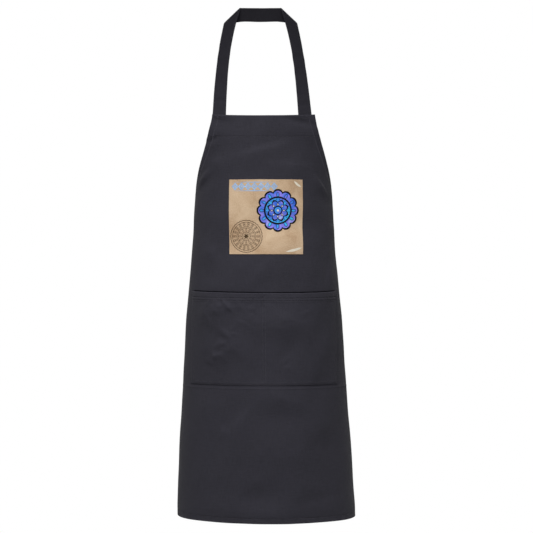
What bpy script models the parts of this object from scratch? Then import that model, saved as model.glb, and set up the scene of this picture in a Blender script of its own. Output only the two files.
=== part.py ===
"""A long bib apron in the shape it takes when it is worn and tied.

One panel of cotton twill is cut with a narrow bib and a wide skirt and wraps round the wearer's front.
A folded neck strap, a wide pocket with two compartments, turned hems and two waist ties are sewn to it,
and the ties meet in a bow at the back. A square film is printed on the bib.

Metres, +Z up. The front faces -Y. The origin is the middle of the neck strap's lower edge, where it
lies on the nape. Cloth lies on a form that is never built: a stack of oval sections. A place on it is
the distance along the cloth from the middle of the front, the height, and how far it stands out.
"""

import math
from collections import namedtuple
from functools import lru_cache

import bmesh
import bpy
from mathutils import Vector

# The flat cut of the panel.
APRON_LENGTH = 0.903
BIB_WIDTH = 0.234
SKIRT_WIDTH = 0.570
ARMHOLE_HEIGHT = 0.240
ARMHOLE_START = 0.25  # the armhole's slope at the top, as a share of a straight one's

# Thicknesses, and the gap that sewn layers keep.
CLOTH = 0.0010
STRAP_CLOTH = 0.0016
TIE_CLOTH = 0.0012
PRINT_FILM = 0.0004
GAP = 0.0003

# Turned edges.
FACING_DEPTH = 0.050
HEM_WIDTH = 0.015
BOTTOM_HEM = 0.014

# The pocket: how far it hangs below the bib's top edge, and how far its mouth stands out.
POCKET_WIDTH = 0.360
POCKET_HEIGHT = 0.207
POCKET_DROP = 0.390
POCKET_SLACK = 0.011
POCKET_ARCH = 0.75  # power of the mouth's arch between its seams: less is a squarer arch
POCKET_RISE = 0.60  # power of the slack's growth from the bottom seam to the mouth

# The printed square, and where its middle is.
PRINT_WIDTH = 0.1655
PRINT_HEIGHT = 0.1650
PRINT_DROP = 0.2255
PRINT_SHIFT = 0.0055

# The neck strap's band, and the oblique fold at each side of the neck.
STRAP_WIDTH = 0.032
STRAP_FOOT = 0.044
NECK_DROP = 0.2265  # from the band's lower edge to the bib's top edge
FOLD_LOW_HALF = 0.0845  # half the distance between the folds' outer corners
FOLD_HIGH_HALF = 0.0450  # and between their upper corners
FOLD_LOW_SINK = 0.0070  # an outer corner lies this far below the band's lower edge
FOLD_FORWARD = 0.0095  # the folds lie this far in front of the band's middle
FOLD_GAP = 0.0010  # between the two layers of a fold
BAND_UPRIGHT = 0.55  # the band's skew at a fold is gone after this share of the way to the middle
BAND_LEVEL = 0.40  # and its lower edge is level after this share
LEG_SKEW = 0.30  # the leg's ribs turn to the fold's slant over this share of its length, at the top
STRAP_LEAN = -0.0070  # the band's middle lies this far to one side
CORNER_LIFT = 0.0035  # how far the strap pulls the bib's corners up
LEG_TWIST = 0.0060  # halfway up, a leg's inner edge lies this far in front of its outer edge
# A leg of the strap: its side, how far in from the bib's corner it is sewn on, and how straight
# its outer and inner edges lean inwards: 1 is a straight line, 0 a curve that ends steeply.
Leg = namedtuple("Leg", "side inset outer_lean inner_lean")
LEFT_LEG = Leg(-1, 0.0, 0.52, 0.20)
RIGHT_LEG = Leg(1, 0.0070, 0.74, 0.38)

# The form's sizes: the sections below are shares of these.
FORM_HALF_WIDTH = 0.204
FORM_DEPTH = 0.135  # from the front line to the widest line
BACK_DEPTH = 0.120  # from the widest line to the back
FORM_FORWARD = 0.150  # from the origin forward to the front line
HEM_SWAY = 0.0063  # the bottom hangs this far to one side
HEM_TILT = 0.0015  # and its corner there hangs this far lower

# The waist ties and their bow.
TIE_WIDTH = 0.030
TIE_OVERLAP = 0.024  # how far a tie is sewn on inside the side hem
TIE_SAG = 0.012
KNOT_WIDTH = 0.030
KNOT_HEIGHT = 0.034
KNOT_DEPTH = 0.018
LOOP_LENGTH = 0.105
LOOP_OPENING = 0.014
LOOP_DROOP = 28.0  # degrees
KNOT_PINCH = 0.60  # the tapes are gathered to this share of their width at the knot
KNOT_SINK = 0.003  # the knot's middle lies this far outside the ties
KNOT_ROUNDING = 0.0045
TAIL_LENGTH = 0.340
TAIL_SPREAD = 0.042
TAIL_SWAY = 0.006

# A rib across the neck strap: its two edges, and how far its middle stands off the line between them.
Rib = namedtuple("Rib", "outer inner bow")

# How finely each piece is divided.
STRAP_COLUMNS = 4
POCKET_COLUMNS = 10
FLANK_COLUMNS = 3
BAND_STEPS = 10
LEG_STEPS = 14
CREASE_STEPS = 8
TIE_STEPS = 22
LOOP_STEPS = 18
TAIL_STEPS = 10
PRINT_STEPS = 12
OVAL_STEPS = 72

BIB_TOP = -NECK_DROP
BOTTOM = BIB_TOP - APRON_LENGTH
TIE_HEIGHT = BIB_TOP - ARMHOLE_HEIGHT
POCKET_TOP = BIB_TOP - POCKET_DROP
POCKET_BOTTOM = POCKET_TOP - POCKET_HEIGHT
HEM_LEVEL = -(CLOTH + GAP)  # how far a turned hem's face stands out from the panel's face
SEWN_LEVEL = -2 * (CLOTH + GAP)  # the same for what is sewn on behind a hem

# Sections of the form, from the bib's top edge to the hem.
# down is a share of APRON_LENGTH, wide of FORM_HALF_WIDTH, deep of FORM_DEPTH, forward of FORM_FORWARD.
Section = namedtuple("Section", "down wide deep forward")
SECTIONS = (
    Section(0.00, 0.810, 0.450, 0.853),
    Section(0.08, 0.770, 0.640, 0.913),
    Section(0.15, 0.747, 0.700, 0.947),
    Section(0.21, 0.768, 0.711, 0.953),
    Section(0.32, 0.792, 0.733, 0.973),
    Section(0.43, 0.836, 0.778, 1.000),
    Section(0.51, 0.869, 0.815, 1.007),
    Section(0.66, 0.907, 0.889, 1.013),
    Section(0.81, 0.956, 0.956, 1.013),
    Section(1.00, 1.000, 1.000, 1.000),
)

# Folds and dents of the panel: soft ridges, where a negative rise is a dent.
# across is a share of half the skirt's width, down of the length; slant is in degrees from level,
# long and wide are shares of the length, and rise is a share of FOLD_RISE.
FOLD_RISE = 0.004
Fold = namedtuple("Fold", "across down slant long wide rise")
FOLDS = (
    Fold(0.58, 0.22, -48, 0.050, 0.026, -0.60),  # pulled from the right tie
    Fold(-0.60, 0.19, 48, 0.045, 0.026, -0.50),  # pulled from the left tie
    Fold(-0.25, 0.79, 52, 0.110, 0.035, 0.60),
    Fold(0.02, 0.93, 40, 0.090, 0.035, -0.80),
    Fold(0.50, 0.88, 75, 0.140, 0.045, -0.90),
    Fold(-0.68, 0.80, 86, 0.160, 0.040, 0.70),
    Fold(0.30, 0.80, 84, 0.150, 0.040, 0.60),
)

# Dents of the pocket, as shares of half its width and of its height from the mouth down.
POCKET_FOLDS = (
    Fold(-0.62, 0.22, -58, 0.10, 0.030, 0.55),
    Fold(-0.30, 0.12, 8, 0.14, 0.032, 0.50),
    Fold(-0.45, 0.60, 20, 0.12, 0.034, 0.55),
    Fold(-0.40, 0.78, 22, 0.10, 0.028, -0.55),
    Fold(0.38, 0.38, -36, 0.14, 0.034, 0.65),
    Fold(0.26, 0.82, 8, 0.10, 0.030, 0.45),
)


def smooth(share):
    """A share eased in and out between 0 and 1."""
    share = min(1.0, max(0.0, share))
    return share * share * (3 - 2 * share)


def between(first, last, share):
    return first + (last - first) * share


def section_at(height):
    """The form's (half width, depth, front line) at a height, on a smooth curve through the sections."""
    down = (BIB_TOP - height) / APRON_LENGTH
    i = max(k for k in range(len(SECTIONS) - 1) if SECTIONS[k].down <= down or k == 0)
    before, low = SECTIONS[max(i - 1, 0)], SECTIONS[i]
    high, after = SECTIONS[i + 1], SECTIONS[min(i + 2, len(SECTIONS) - 1)]
    step = high.down - low.down
    share = (down - low.down) / step
    values = []
    for size, column in ((FORM_HALF_WIDTH, 1), (FORM_DEPTH, 2), (FORM_FORWARD, 3)):
        rise_low = (high[column] - before[column]) / (high.down - before.down) * step
        rise_high = (after[column] - low[column]) / (after.down - low.down) * step
        square, cube = share * share, share**3
        value = (
            (2 * cube - 3 * square + 1) * low[column]
            + (cube - 2 * square + share) * rise_low
            + (3 * square - 2 * cube) * high[column]
            + (cube - square) * rise_high
        )
        values.append(size * value)
    return values


@lru_cache(maxsize=None)
def oval(height):
    """The section as (distance along the cloth, angle) pairs, from the front line to the back line."""
    wide, deep, _ = section_at(height)
    along, found = 0.0, [(0.0, 0.0)]
    last = (0.0, -deep)
    for step in range(1, OVAL_STEPS + 1):
        angle = math.pi * step / OVAL_STEPS
        reach = deep if angle <= math.pi / 2 else BACK_DEPTH
        here = (wide * math.sin(angle), -reach * math.cos(angle))
        along += math.dist(here, last)
        found.append((along, angle))
        last = here
    return found


def half_girth(height):
    """The length of the section from the front line round to the back line."""
    return oval(height)[-1][0]


def ridge(folds, across, down, along_size, down_size, rise):
    """How far the folds lift the cloth at a place, given as distances from the folds' own origin."""
    lift = 0.0
    for fold in folds:
        x = across - fold.across * along_size
        y = fold.down * down_size - down
        slant = math.radians(fold.slant)
        on = x * math.cos(slant) + y * math.sin(slant)
        off = -x * math.sin(slant) + y * math.cos(slant)
        shape = (on / (fold.long * APRON_LENGTH)) ** 2 + (off / (fold.wide * APRON_LENGTH)) ** 2
        lift += rise * fold.rise * math.exp(-shape)
    return lift


def on_form(across, height, out=0.0):
    """The point of the form at a distance round it and a height, standing out from the panel's face."""
    wide, deep, forward = section_at(height)
    pairs = oval(height)
    far = min(abs(across), pairs[-1][0])
    k = next(i for i in range(1, len(pairs)) if pairs[i][0] >= far - 1e-9)
    share = (far - pairs[k - 1][0]) / (pairs[k][0] - pairs[k - 1][0])
    angle = between(pairs[k - 1][1], pairs[k][1], share)
    reach = deep if angle <= math.pi / 2 else BACK_DEPTH
    x, y = wide * math.sin(angle), -reach * math.cos(angle)
    outward = Vector((x / wide**2, y / reach**2, 0)).normalized()
    side = -1.0 if across < 0 else 1.0
    down = BIB_TOP - height
    lift = ridge(FOLDS, across, down, SKIRT_WIDTH / 2, APRON_LENGTH, FOLD_RISE)
    out += lift
    hang = (max(0.0, down) / APRON_LENGTH) ** 2.5
    pull = max(0.0, 1 - down / ARMHOLE_HEIGHT) ** 2
    height += CORNER_LIFT * pull * (across / (BIB_WIDTH / 2)) ** 2
    height -= HEM_TILT * hang * across / (SKIRT_WIDTH / 2)
    return Vector((
        side * (x + out * outward.x) + HEM_SWAY * hang,
        deep - forward + y + out * outward.y,
        height,
    ))


def half_width(height):
    """Half the width of the cut at a height: the armhole's curve, then the straight side."""
    down = min(1.0, max(0.0, (BIB_TOP - height) / ARMHOLE_HEIGHT))
    return between(BIB_WIDTH, SKIRT_WIDTH, between(down * down, down, ARMHOLE_START)) / 2


def split(first, last, steps):
    return [between(first, last, k / steps) for k in range(steps)]


def panel_heights():
    """The heights of the panel's rows, with one on each edge of what is sewn to it."""
    rows = split(BIB_TOP, BIB_TOP - FACING_DEPTH, 3)
    rows += split(BIB_TOP - FACING_DEPTH, TIE_HEIGHT, 11)
    rows += split(TIE_HEIGHT, POCKET_TOP, 6)
    rows += split(POCKET_TOP, POCKET_BOTTOM, 8)
    rows += split(POCKET_BOTTOM, BOTTOM + BOTTOM_HEM, 9)
    return rows + [BOTTOM + BOTTOM_HEM, BOTTOM]


def half_columns():
    """Shares of the cloth inside the hems, with one column on the pocket's edge."""
    pocket_edge = POCKET_WIDTH / (SKIRT_WIDTH - 2 * HEM_WIDTH)
    return split(0.0, pocket_edge, POCKET_COLUMNS) + split(pocket_edge, 1.0, FLANK_COLUMNS) + [1.0]


def panel_across(column, height):
    """The distance round the form of a column of the panel: the last one each side is its edge."""
    shares = half_columns()
    last = len(shares)
    k = abs(column)
    far = half_width(height) if k == last else shares[k] * (half_width(height) - HEM_WIDTH)
    return math.copysign(far, column)


def edge_column():
    return len(half_columns())


def material(name, colour, roughness):
    made = bpy.data.materials.new(name)
    made.use_nodes = True
    shader = made.node_tree.nodes["Principled BSDF"]
    shader.inputs["Base Color"].default_value = (*colour, 1.0)
    shader.inputs["Roughness"].default_value = roughness
    shader.inputs["Metallic"].default_value = 0.0
    made.diffuse_color = (*colour, 1.0)
    return made


def cloth_piece(name, columns, rows, place, wall, side, finish):
    """A sheet cut as a flat grid, moved to its place, and given its thickness inwards, or to both sides."""
    mesh = bpy.data.meshes.new(name)
    grid = bmesh.new()
    bmesh.ops.create_grid(grid, x_segments=columns, y_segments=rows, size=0.5)
    for vertex in grid.verts:
        column = round((vertex.co.x + 0.5) * columns)
        row = round((vertex.co.y + 0.5) * rows)
        vertex.co = place(column, row)
    grid.to_mesh(mesh)
    grid.free()
    piece = bpy.data.objects.new(name, mesh)
    apron.objects.link(piece)
    mesh.shade_smooth()
    mesh.materials.append(finish)
    thicken = piece.modifiers.new("Wall", "SOLIDIFY")
    thicken.thickness = wall
    thicken.offset = side
    thicken.use_even_offset = True
    return piece


def make_panel():
    heights = panel_heights()
    edge = edge_column()

    def place(column, row):
        height = heights[len(heights) - 1 - row]
        return on_form(panel_across(column - edge, height), height)

    return cloth_piece("apron_panel", 2 * edge, len(heights) - 1, place, CLOTH, -1, twill)


def make_turned_strip(name, first_column, last_column, top, bottom):
    """An edge of the panel that is turned in behind it, between two columns and two heights."""
    inside = [z for z in panel_heights() if bottom + GAP < z < top - GAP]
    heights = [bottom + GAP] + inside[::-1] + [top - GAP]

    def place(column, row):
        height = heights[row]
        return on_form(panel_across(first_column + column, height), height, HEM_LEVEL)

    return cloth_piece(name, last_column - first_column, len(heights) - 1, place, CLOTH, -1, twill)


def make_hems():
    edge = edge_column()
    facing = BIB_TOP - FACING_DEPTH
    turn_up = BOTTOM + BOTTOM_HEM
    make_turned_strip("bib_facing", -edge, edge, BIB_TOP, facing)
    make_turned_strip("bottom_hem", -edge, edge, turn_up, BOTTOM)
    for side, first in (("left", -edge), ("right", edge - 1)):
        make_turned_strip(f"armhole_hem_{side}", first, first + 1, facing, TIE_HEIGHT)
        make_turned_strip(f"side_hem_{side}", first, first + 1, TIE_HEIGHT, turn_up)


def pocket_stand(across, height):
    """How far the pocket's cloth stands off: nothing at its seams, most at the mouth of each half."""
    half = POCKET_WIDTH / 2
    up = max(0.0, (height - POCKET_BOTTOM) / POCKET_HEIGHT)
    arch = max(0.0, math.sin(math.pi * abs(across) / half)) ** POCKET_ARCH
    loose = arch * math.sin(math.pi / 2 * up) ** POCKET_RISE
    dents = ridge(POCKET_FOLDS, across, POCKET_TOP - height, half, POCKET_HEIGHT, FOLD_RISE)
    return (POCKET_SLACK + dents) * loose


def make_pocket():
    heights = [z for z in panel_heights() if POCKET_BOTTOM - GAP < z < POCKET_TOP + GAP][::-1]

    def place(column, row):
        height = heights[row]
        across = panel_across(column - POCKET_COLUMNS, height)
        out = GAP + CLOTH + pocket_stand(across, height)
        return on_form(across, height, out)

    return cloth_piece("pocket", 2 * POCKET_COLUMNS, len(heights) - 1, place, CLOTH, -1, twill)


def make_print():
    def place(column, row):
        across = PRINT_SHIFT + PRINT_WIDTH * (column / PRINT_STEPS - 0.5)
        height = BIB_TOP - PRINT_DROP + PRINT_HEIGHT * (row / PRINT_STEPS - 0.5)
        return on_form(across, height, GAP + PRINT_FILM)

    return cloth_piece("chest_print", PRINT_STEPS, PRINT_STEPS, place, PRINT_FILM, -1, film)


def fold_ends(side):
    """The lower outer end and the upper inner end of the strap's oblique fold."""
    low = Vector((STRAP_LEAN + side * FOLD_LOW_HALF, -FOLD_FORWARD, -FOLD_LOW_SINK))
    high = Vector((STRAP_LEAN + side * FOLD_HIGH_HALF, -FOLD_FORWARD, STRAP_WIDTH - FOLD_GAP))
    return low, high


def sewn_rib(leg, height):
    """A rib of the strap where it lies on the back of the bib, bowed as the cloth there is."""
    level = SEWN_LEVEL - GAP - STRAP_CLOTH / 2
    far = BIB_WIDTH / 2 - leg.inset
    places = [leg.side * (far - STRAP_WIDTH * share) for share in (0, 0.5, 1)]
    outer, middle, inner = (on_form(across, height, level) for across in places)
    return Rib(outer, inner, middle - (outer + inner) / 2)


def leg_ribs(leg):
    """Ribs of one leg, from its sewn end up to its oblique fold."""
    low, high = fold_ends(leg.side)
    foot = sewn_rib(leg, BIB_TOP)
    ribs = [sewn_rib(leg, BIB_TOP - STRAP_FOOT * share) for share in (1.0, 0.5)]
    for step in range(LEG_STEPS + 1):
        share = step / LEG_STEPS
        outer_height = between(foot.outer.z, low.z, share)
        inner_height = outer_height + (high.z - low.z) * smooth((share - 1) / LEG_SKEW + 1)
        on_inner = (inner_height - foot.inner.z) / (high.z - foot.inner.z)
        outer = Vector((
            between(foot.outer.x, low.x, between(share**3, share, leg.outer_lean)),
            between(foot.outer.y, low.y, share),
            outer_height,
        ))
        inner = Vector((
            between(foot.inner.x, high.x, between(on_inner**3, on_inner, leg.inner_lean)),
            between(foot.inner.y, high.y, on_inner) - LEG_TWIST * math.sin(math.pi * share),
            inner_height,
        ))
        ribs.append(Rib(outer, inner, foot.bow * (1 - smooth(3 * share))))
    return ribs


def crease_ribs(side):
    """Ribs round the half turn of the oblique fold, from the leg's layer to the band's layer behind it."""
    low, high = fold_ends(side)
    radius = (STRAP_CLOTH + FOLD_GAP) / 2
    along = (high - low).normalized()
    away = along.cross(Vector((0, -side, 0))).normalized()
    ribs = []
    for step in range(1, CREASE_STEPS):
        turn = math.pi * step / CREASE_STEPS
        shift = away * (radius * math.sin(turn)) + Vector((0, radius * (1 - math.cos(turn)), 0))
        ribs.append(Rib(low + shift, high + shift, Vector((0, 0, 0))))
    return ribs


def band_ribs(side):
    """Ribs of half the band behind the neck, from the fold to the middle."""
    low, high = fold_ends(side)
    behind = STRAP_CLOTH + FOLD_GAP
    ribs = []
    for step in range(BAND_STEPS + 1):
        share = step / BAND_STEPS
        upright = smooth(share / BAND_UPRIGHT)
        top_x = between(high.x, STRAP_LEAN, share)
        low_x = top_x + (low.x - high.x) * (1 - upright)
        depth = between(behind - FOLD_FORWARD, STRAP_CLOTH / 2, smooth(share))
        top_height = between(high.z, STRAP_WIDTH, smooth(share))
        low_height = between(low.z, 0.0, smooth(share / BAND_LEVEL))
        outer = Vector((low_x, depth, low_height))
        ribs.append(Rib(outer, Vector((top_x, depth, top_height)), Vector((0, 0, 0))))
    return ribs


def make_neck_strap():
    """One band from the left end over both folds to the right end."""
    left = leg_ribs(LEFT_LEG) + crease_ribs(-1) + band_ribs(-1)
    right = leg_ribs(RIGHT_LEG) + crease_ribs(1) + band_ribs(1)
    ribs = left + right[::-1][1:]

    def place(column, row):
        rib = ribs[row]
        share = column / STRAP_COLUMNS
        return rib.outer.lerp(rib.inner, share) + rib.bow * (4 * share * (1 - share))

    return cloth_piece("neck_strap", STRAP_COLUMNS, len(ribs) - 1, place, STRAP_CLOTH, 0, tape)


def knot_middle():
    """The middle of the bow's knot: the ties run into its sides at the middle of the back."""
    height = TIE_HEIGHT - HEM_WIDTH - TIE_WIDTH / 2 - TIE_SAG
    return on_form(half_girth(height), height, SEWN_LEVEL) + Vector((0, KNOT_SINK, 0))


def gathered(distance):
    """A tape's width at a distance from the knot, which gathers it."""
    return TIE_WIDTH * between(KNOT_PINCH, 1.0, smooth(distance / (2 * TIE_WIDTH)))


def make_tie(name, side):
    """A waist tie from inside the side hem round the back to the knot, sagging towards the back."""
    level = TIE_HEIGHT - HEM_WIDTH - TIE_WIDTH / 2
    start = SKIRT_WIDTH / 2 - TIE_OVERLAP

    def place(column, row):
        share = row / TIE_STEPS
        width = gathered((1 - share) * (half_girth(level) - start))
        height = level - TIE_SAG * share * share + side * width * (column - 0.5)
        finish = half_girth(height) - KNOT_WIDTH / 2 - 3 * GAP
        return on_form(side * between(start, finish, share), height, SEWN_LEVEL)

    return cloth_piece(name, 1, TIE_STEPS, place, TIE_CLOTH, 1, tape)


def make_loop(name, side):
    """A loop of the bow: out of the knot's side, round a soft hairpin and back, drooping a little."""
    middle = knot_middle()
    droop = math.radians(LOOP_DROOP)

    def place(column, row):
        share = row / LOOP_STEPS
        out = LOOP_LENGTH * (1 - math.cos(2 * math.pi * share)) / 2
        opening = between(KNOT_DEPTH / 4, LOOP_OPENING, smooth(2 * out / LOOP_LENGTH))
        off = -math.cos(math.pi * share) * opening / 2 + KNOT_SINK
        lift = gathered(out) * (column - 0.5)
        turn = droop * min(1.0, out / TIE_WIDTH)
        x = KNOT_WIDTH / 2 + GAP + out * math.cos(turn) + lift * math.sin(turn)
        z = lift * math.cos(turn) - out * math.sin(turn)
        return middle + Vector((side * x, off, z))

    return cloth_piece(name, 1, LOOP_STEPS, place, TIE_CLOTH, 0, tape)


def make_tail(name, side):
    """A free end of a tie, hanging from under the knot."""
    top = knot_middle() - Vector((0, 0, KNOT_HEIGHT / 2 + GAP))
    layer = side * (TIE_CLOTH + GAP)

    def place(column, row):
        share = row / TAIL_STEPS
        width = gathered(TAIL_LENGTH * share)
        x = side * (TIE_WIDTH / 6 + TAIL_SPREAD * smooth(share)) + width * (column - 0.5)
        depth = layer + TAIL_SWAY * share * (side + math.sin(2 * math.pi * share))
        return top + Vector((x, depth, -TAIL_LENGTH * share))

    return cloth_piece(name, 1, TAIL_STEPS, place, TIE_CLOTH, 0, tape)


def make_knot():
    """The knot of the bow: a short wrap of the tie round the layers under it."""
    mesh = bpy.data.meshes.new("tie_knot")
    block = bmesh.new()
    bmesh.ops.create_cube(block, size=1.0)
    bmesh.ops.scale(block, vec=(KNOT_WIDTH, KNOT_DEPTH, KNOT_HEIGHT), verts=block.verts)
    block.to_mesh(mesh)
    block.free()
    knot = bpy.data.objects.new("tie_knot", mesh)
    apron.objects.link(knot)
    knot.location = knot_middle()
    mesh.shade_smooth()
    mesh.materials.append(tape)
    rounding = knot.modifiers.new("Rounding", "BEVEL")
    rounding.width = KNOT_ROUNDING
    rounding.segments = 3
    return knot


def clear_scene():
    for old in list(bpy.data.objects):
        bpy.data.objects.remove(old, do_unlink=True)


clear_scene()
apron = bpy.data.collections.new("bib_apron")
bpy.context.scene.collection.children.link(apron)
twill = material("charcoal_cotton_twill", (0.030, 0.029, 0.036), 0.90)
tape = material("charcoal_cotton_tape", (0.026, 0.025, 0.031), 0.90)
film = material("parchment_print_film", (0.560, 0.400, 0.250), 0.60)

make_panel()
make_hems()
make_pocket()
make_print()
make_neck_strap()
make_tie("waist_tie_left", -1)
make_tie("waist_tie_right", 1)
make_loop("bow_loop_left", -1)
make_loop("bow_loop_right", 1)
make_tail("tie_end_left", -1)
make_tail("tie_end_right", 1)
make_knot()
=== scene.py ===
"""A worn bib apron of charcoal cotton twill: printed square, wide pocket, folded neck strap and a bow.

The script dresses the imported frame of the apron. Each piece of cloth is drawn as a flat grid in metres
and laid on the same worn form as the frame's source: a stack of oval sections. Tapes follow ribs.
Metres, +Z up, the front faces -Y.
"""

import math
from collections import namedtuple

import bmesh
import bpy
import numpy as np
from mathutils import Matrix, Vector


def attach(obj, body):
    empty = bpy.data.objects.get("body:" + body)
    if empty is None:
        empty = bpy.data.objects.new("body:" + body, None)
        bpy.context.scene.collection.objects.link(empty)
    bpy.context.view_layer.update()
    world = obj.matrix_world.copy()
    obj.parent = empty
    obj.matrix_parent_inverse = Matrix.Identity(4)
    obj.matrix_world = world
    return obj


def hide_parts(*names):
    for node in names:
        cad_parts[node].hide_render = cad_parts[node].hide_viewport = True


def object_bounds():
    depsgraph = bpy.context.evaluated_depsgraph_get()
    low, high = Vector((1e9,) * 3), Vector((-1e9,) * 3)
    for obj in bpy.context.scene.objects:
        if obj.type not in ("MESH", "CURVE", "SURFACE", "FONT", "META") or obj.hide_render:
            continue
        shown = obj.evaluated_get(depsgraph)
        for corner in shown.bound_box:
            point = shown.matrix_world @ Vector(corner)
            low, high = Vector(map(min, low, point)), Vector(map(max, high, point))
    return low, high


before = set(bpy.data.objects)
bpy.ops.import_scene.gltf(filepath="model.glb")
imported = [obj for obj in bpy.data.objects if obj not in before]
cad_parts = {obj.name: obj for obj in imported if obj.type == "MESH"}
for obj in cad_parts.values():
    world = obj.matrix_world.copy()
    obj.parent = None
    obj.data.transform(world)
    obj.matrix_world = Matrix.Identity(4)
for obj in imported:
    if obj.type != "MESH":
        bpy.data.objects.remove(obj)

bl_info = {
    "name": "Bib Apron",
    "version": (1, 0, 0),
    "blender": (4, 5, 0),
    "location": "3D View > Sidebar > Apron",
    "description": "Dresses the frame of a bib apron in cloth, seams, stitches and a print",
    "category": "Add Mesh",
}

CAD_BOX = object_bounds()

# The frame's own sizes in metres, which the cloth repeats.
APRON_LENGTH = 0.903
BIB_WIDTH = 0.234
SKIRT_WIDTH = 0.570
ARMHOLE_HEIGHT = 0.240
ARMHOLE_START = 0.25
CLOTH = 0.0010
STRAP_CLOTH = 0.0016
TIE_CLOTH = 0.0012
GAP = 0.0003
FACING_DEPTH = 0.050
HEM_WIDTH = 0.015
BOTTOM_HEM = 0.014
POCKET_WIDTH = 0.360
POCKET_HEIGHT = 0.207
POCKET_DROP = 0.390
POCKET_SLACK = 0.011
PRINT_WIDTH = 0.1655
PRINT_HEIGHT = 0.1650
PRINT_DROP = 0.2255
PRINT_SHIFT = 0.0055
PRINT_FILM = 0.0004
STRAP_WIDTH = 0.032
STRAP_FOOT = 0.044
NECK_DROP = 0.2265
FOLD_LOW_HALF = 0.0845
FOLD_HIGH_HALF = 0.0450
FOLD_LOW_SINK = 0.0070
FOLD_FORWARD = 0.0095
FOLD_GAP = 0.0010
BAND_UPRIGHT = 0.55
BAND_LEVEL = 0.40
LEG_SKEW = 0.30
STRAP_LEAN = -0.0070
CORNER_LIFT = 0.0035
LEG_TWIST = 0.0060
FORM_HALF_WIDTH = 0.204
FORM_DEPTH = 0.135
BACK_DEPTH = 0.120
FORM_FORWARD = 0.150
HEM_SWAY = 0.0063
HEM_TILT = 0.0015
TIE_WIDTH = 0.030
TIE_OVERLAP = 0.024
TIE_SAG = 0.012
KNOT_WIDTH = 0.030
KNOT_HEIGHT = 0.034
KNOT_DEPTH = 0.018
KNOT_PINCH = 0.60
KNOT_SINK = 0.003
LOOP_LENGTH = 0.105
LOOP_OPENING = 0.014
LOOP_DROOP = 28.0
TAIL_LENGTH = 0.340
TAIL_SPREAD = 0.042
TAIL_SWAY = 0.006

# What loose cloth does beyond the frame. The pocket takes up a share of its slack in a bulge that is
# rounded across each compartment and up from the bottom seam. Its mouth sags. The lower edge curls in.
SLACK_TAKEN = 0.75
POCKET_ARCH = 0.95
POCKET_RISE = 0.95
MOUTH_SAG = 0.0042
SAG_REACH = 0.034
EDGE_CURL = 0.0030
CURL_REACH = 0.030
# Behind the mouth the panel drops back and comes forward again further down.
MOUTH_DROP = 0.0024
# Ripples that the stitches draw, on the panel and on the pocket.
PANEL_PUCKER = 0.00016
POCKET_PUCKER = 0.00018
# Rise of the slow unevenness, as a share of each wave's length, and how many waves cross.
DRIFT_SHARE = 0.0034
DRIFT_WAVES = 16
# How far along the strap its oblique folds are, from either end.
FOLD_PLACE = 0.262

# How far the rows of stitches and the drawn cloth keep from the edges.
PANEL_INSET = 0.0008
FACING_SEAM = FACING_DEPTH - 0.002
SIDE_SEAM = HEM_WIDTH - 0.002
BOTTOM_SEAM = BOTTOM_HEM - 0.002
POCKET_EDGE_SEAM = 0.0022
POCKET_SECOND_SEAM = 0.0075
MOUTH_SEAMS = (0.0130, 0.0195)
DIVIDER_SEAM = 0.003
TAPE_SEAM = 0.0022
# How deep rows of stitches sink into the cloth, and how wide the dent is.
SEAM_SINK = 0.0004
SIDE_SINK = 0.0003
POCKET_EDGE_SINK = 0.00025
MOUTH_SINK = 0.0005
TAPE_SINK_SHARE = 0.16
SINK_WIDTH = 0.0012
# How wide the pocket's turned edges and its mouth's hem are, and how far they stand out.
TURNED_WIDTH = 0.0085
TURNED_RISE = 0.0003
MOUTH_HEM = 0.0212
MOUTH_HEM_RISE = 0.0005
# Radii of the cloth's rolled edges.
PANEL_ROLL = 0.0009
POCKET_ROLL = 0.0006
MOUTH_ROLL = 0.0012

BIB_TOP = -NECK_DROP
BOTTOM = BIB_TOP - APRON_LENGTH
TIE_HEIGHT = BIB_TOP - ARMHOLE_HEIGHT
POCKET_TOP = BIB_TOP - POCKET_DROP
POCKET_BOTTOM = POCKET_TOP - POCKET_HEIGHT
PRINT_MIDDLE = BIB_TOP - PRINT_DROP
HEM_LEVEL = -(CLOTH + GAP)
SEWN_LEVEL = -2 * (CLOTH + GAP)
OVAL_STEPS = 72
FORM_BATCH = 40000

# Spacing of the cloth's grids: the panel's rows, the pocket, the print and the tapes' columns.
PANEL_STEP = 0.0041
PANEL_COLUMNS = 66
POCKET_STEP = 0.0023
PRINT_STEP = 0.0028
TAPE_STEP = 0.0028

# Sections of the worn form: how far down, half width, depth and front line, as shares of the sizes above.
SECTIONS = np.array([
    (0.00, 0.810, 0.450, 0.853),
    (0.08, 0.770, 0.640, 0.913),
    (0.15, 0.747, 0.700, 0.947),
    (0.21, 0.768, 0.711, 0.953),
    (0.32, 0.792, 0.733, 0.973),
    (0.43, 0.836, 0.778, 1.000),
    (0.51, 0.869, 0.815, 1.007),
    (0.66, 0.907, 0.889, 1.013),
    (0.81, 0.956, 0.956, 1.013),
    (1.00, 1.000, 1.000, 1.000),
])

Leg = namedtuple("Leg", "side inset outer_lean inner_lean")
LEFT_LEG = Leg(-1, 0.0, 0.52, 0.20)
RIGHT_LEG = Leg(1, 0.0070, 0.74, 0.38)

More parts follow.
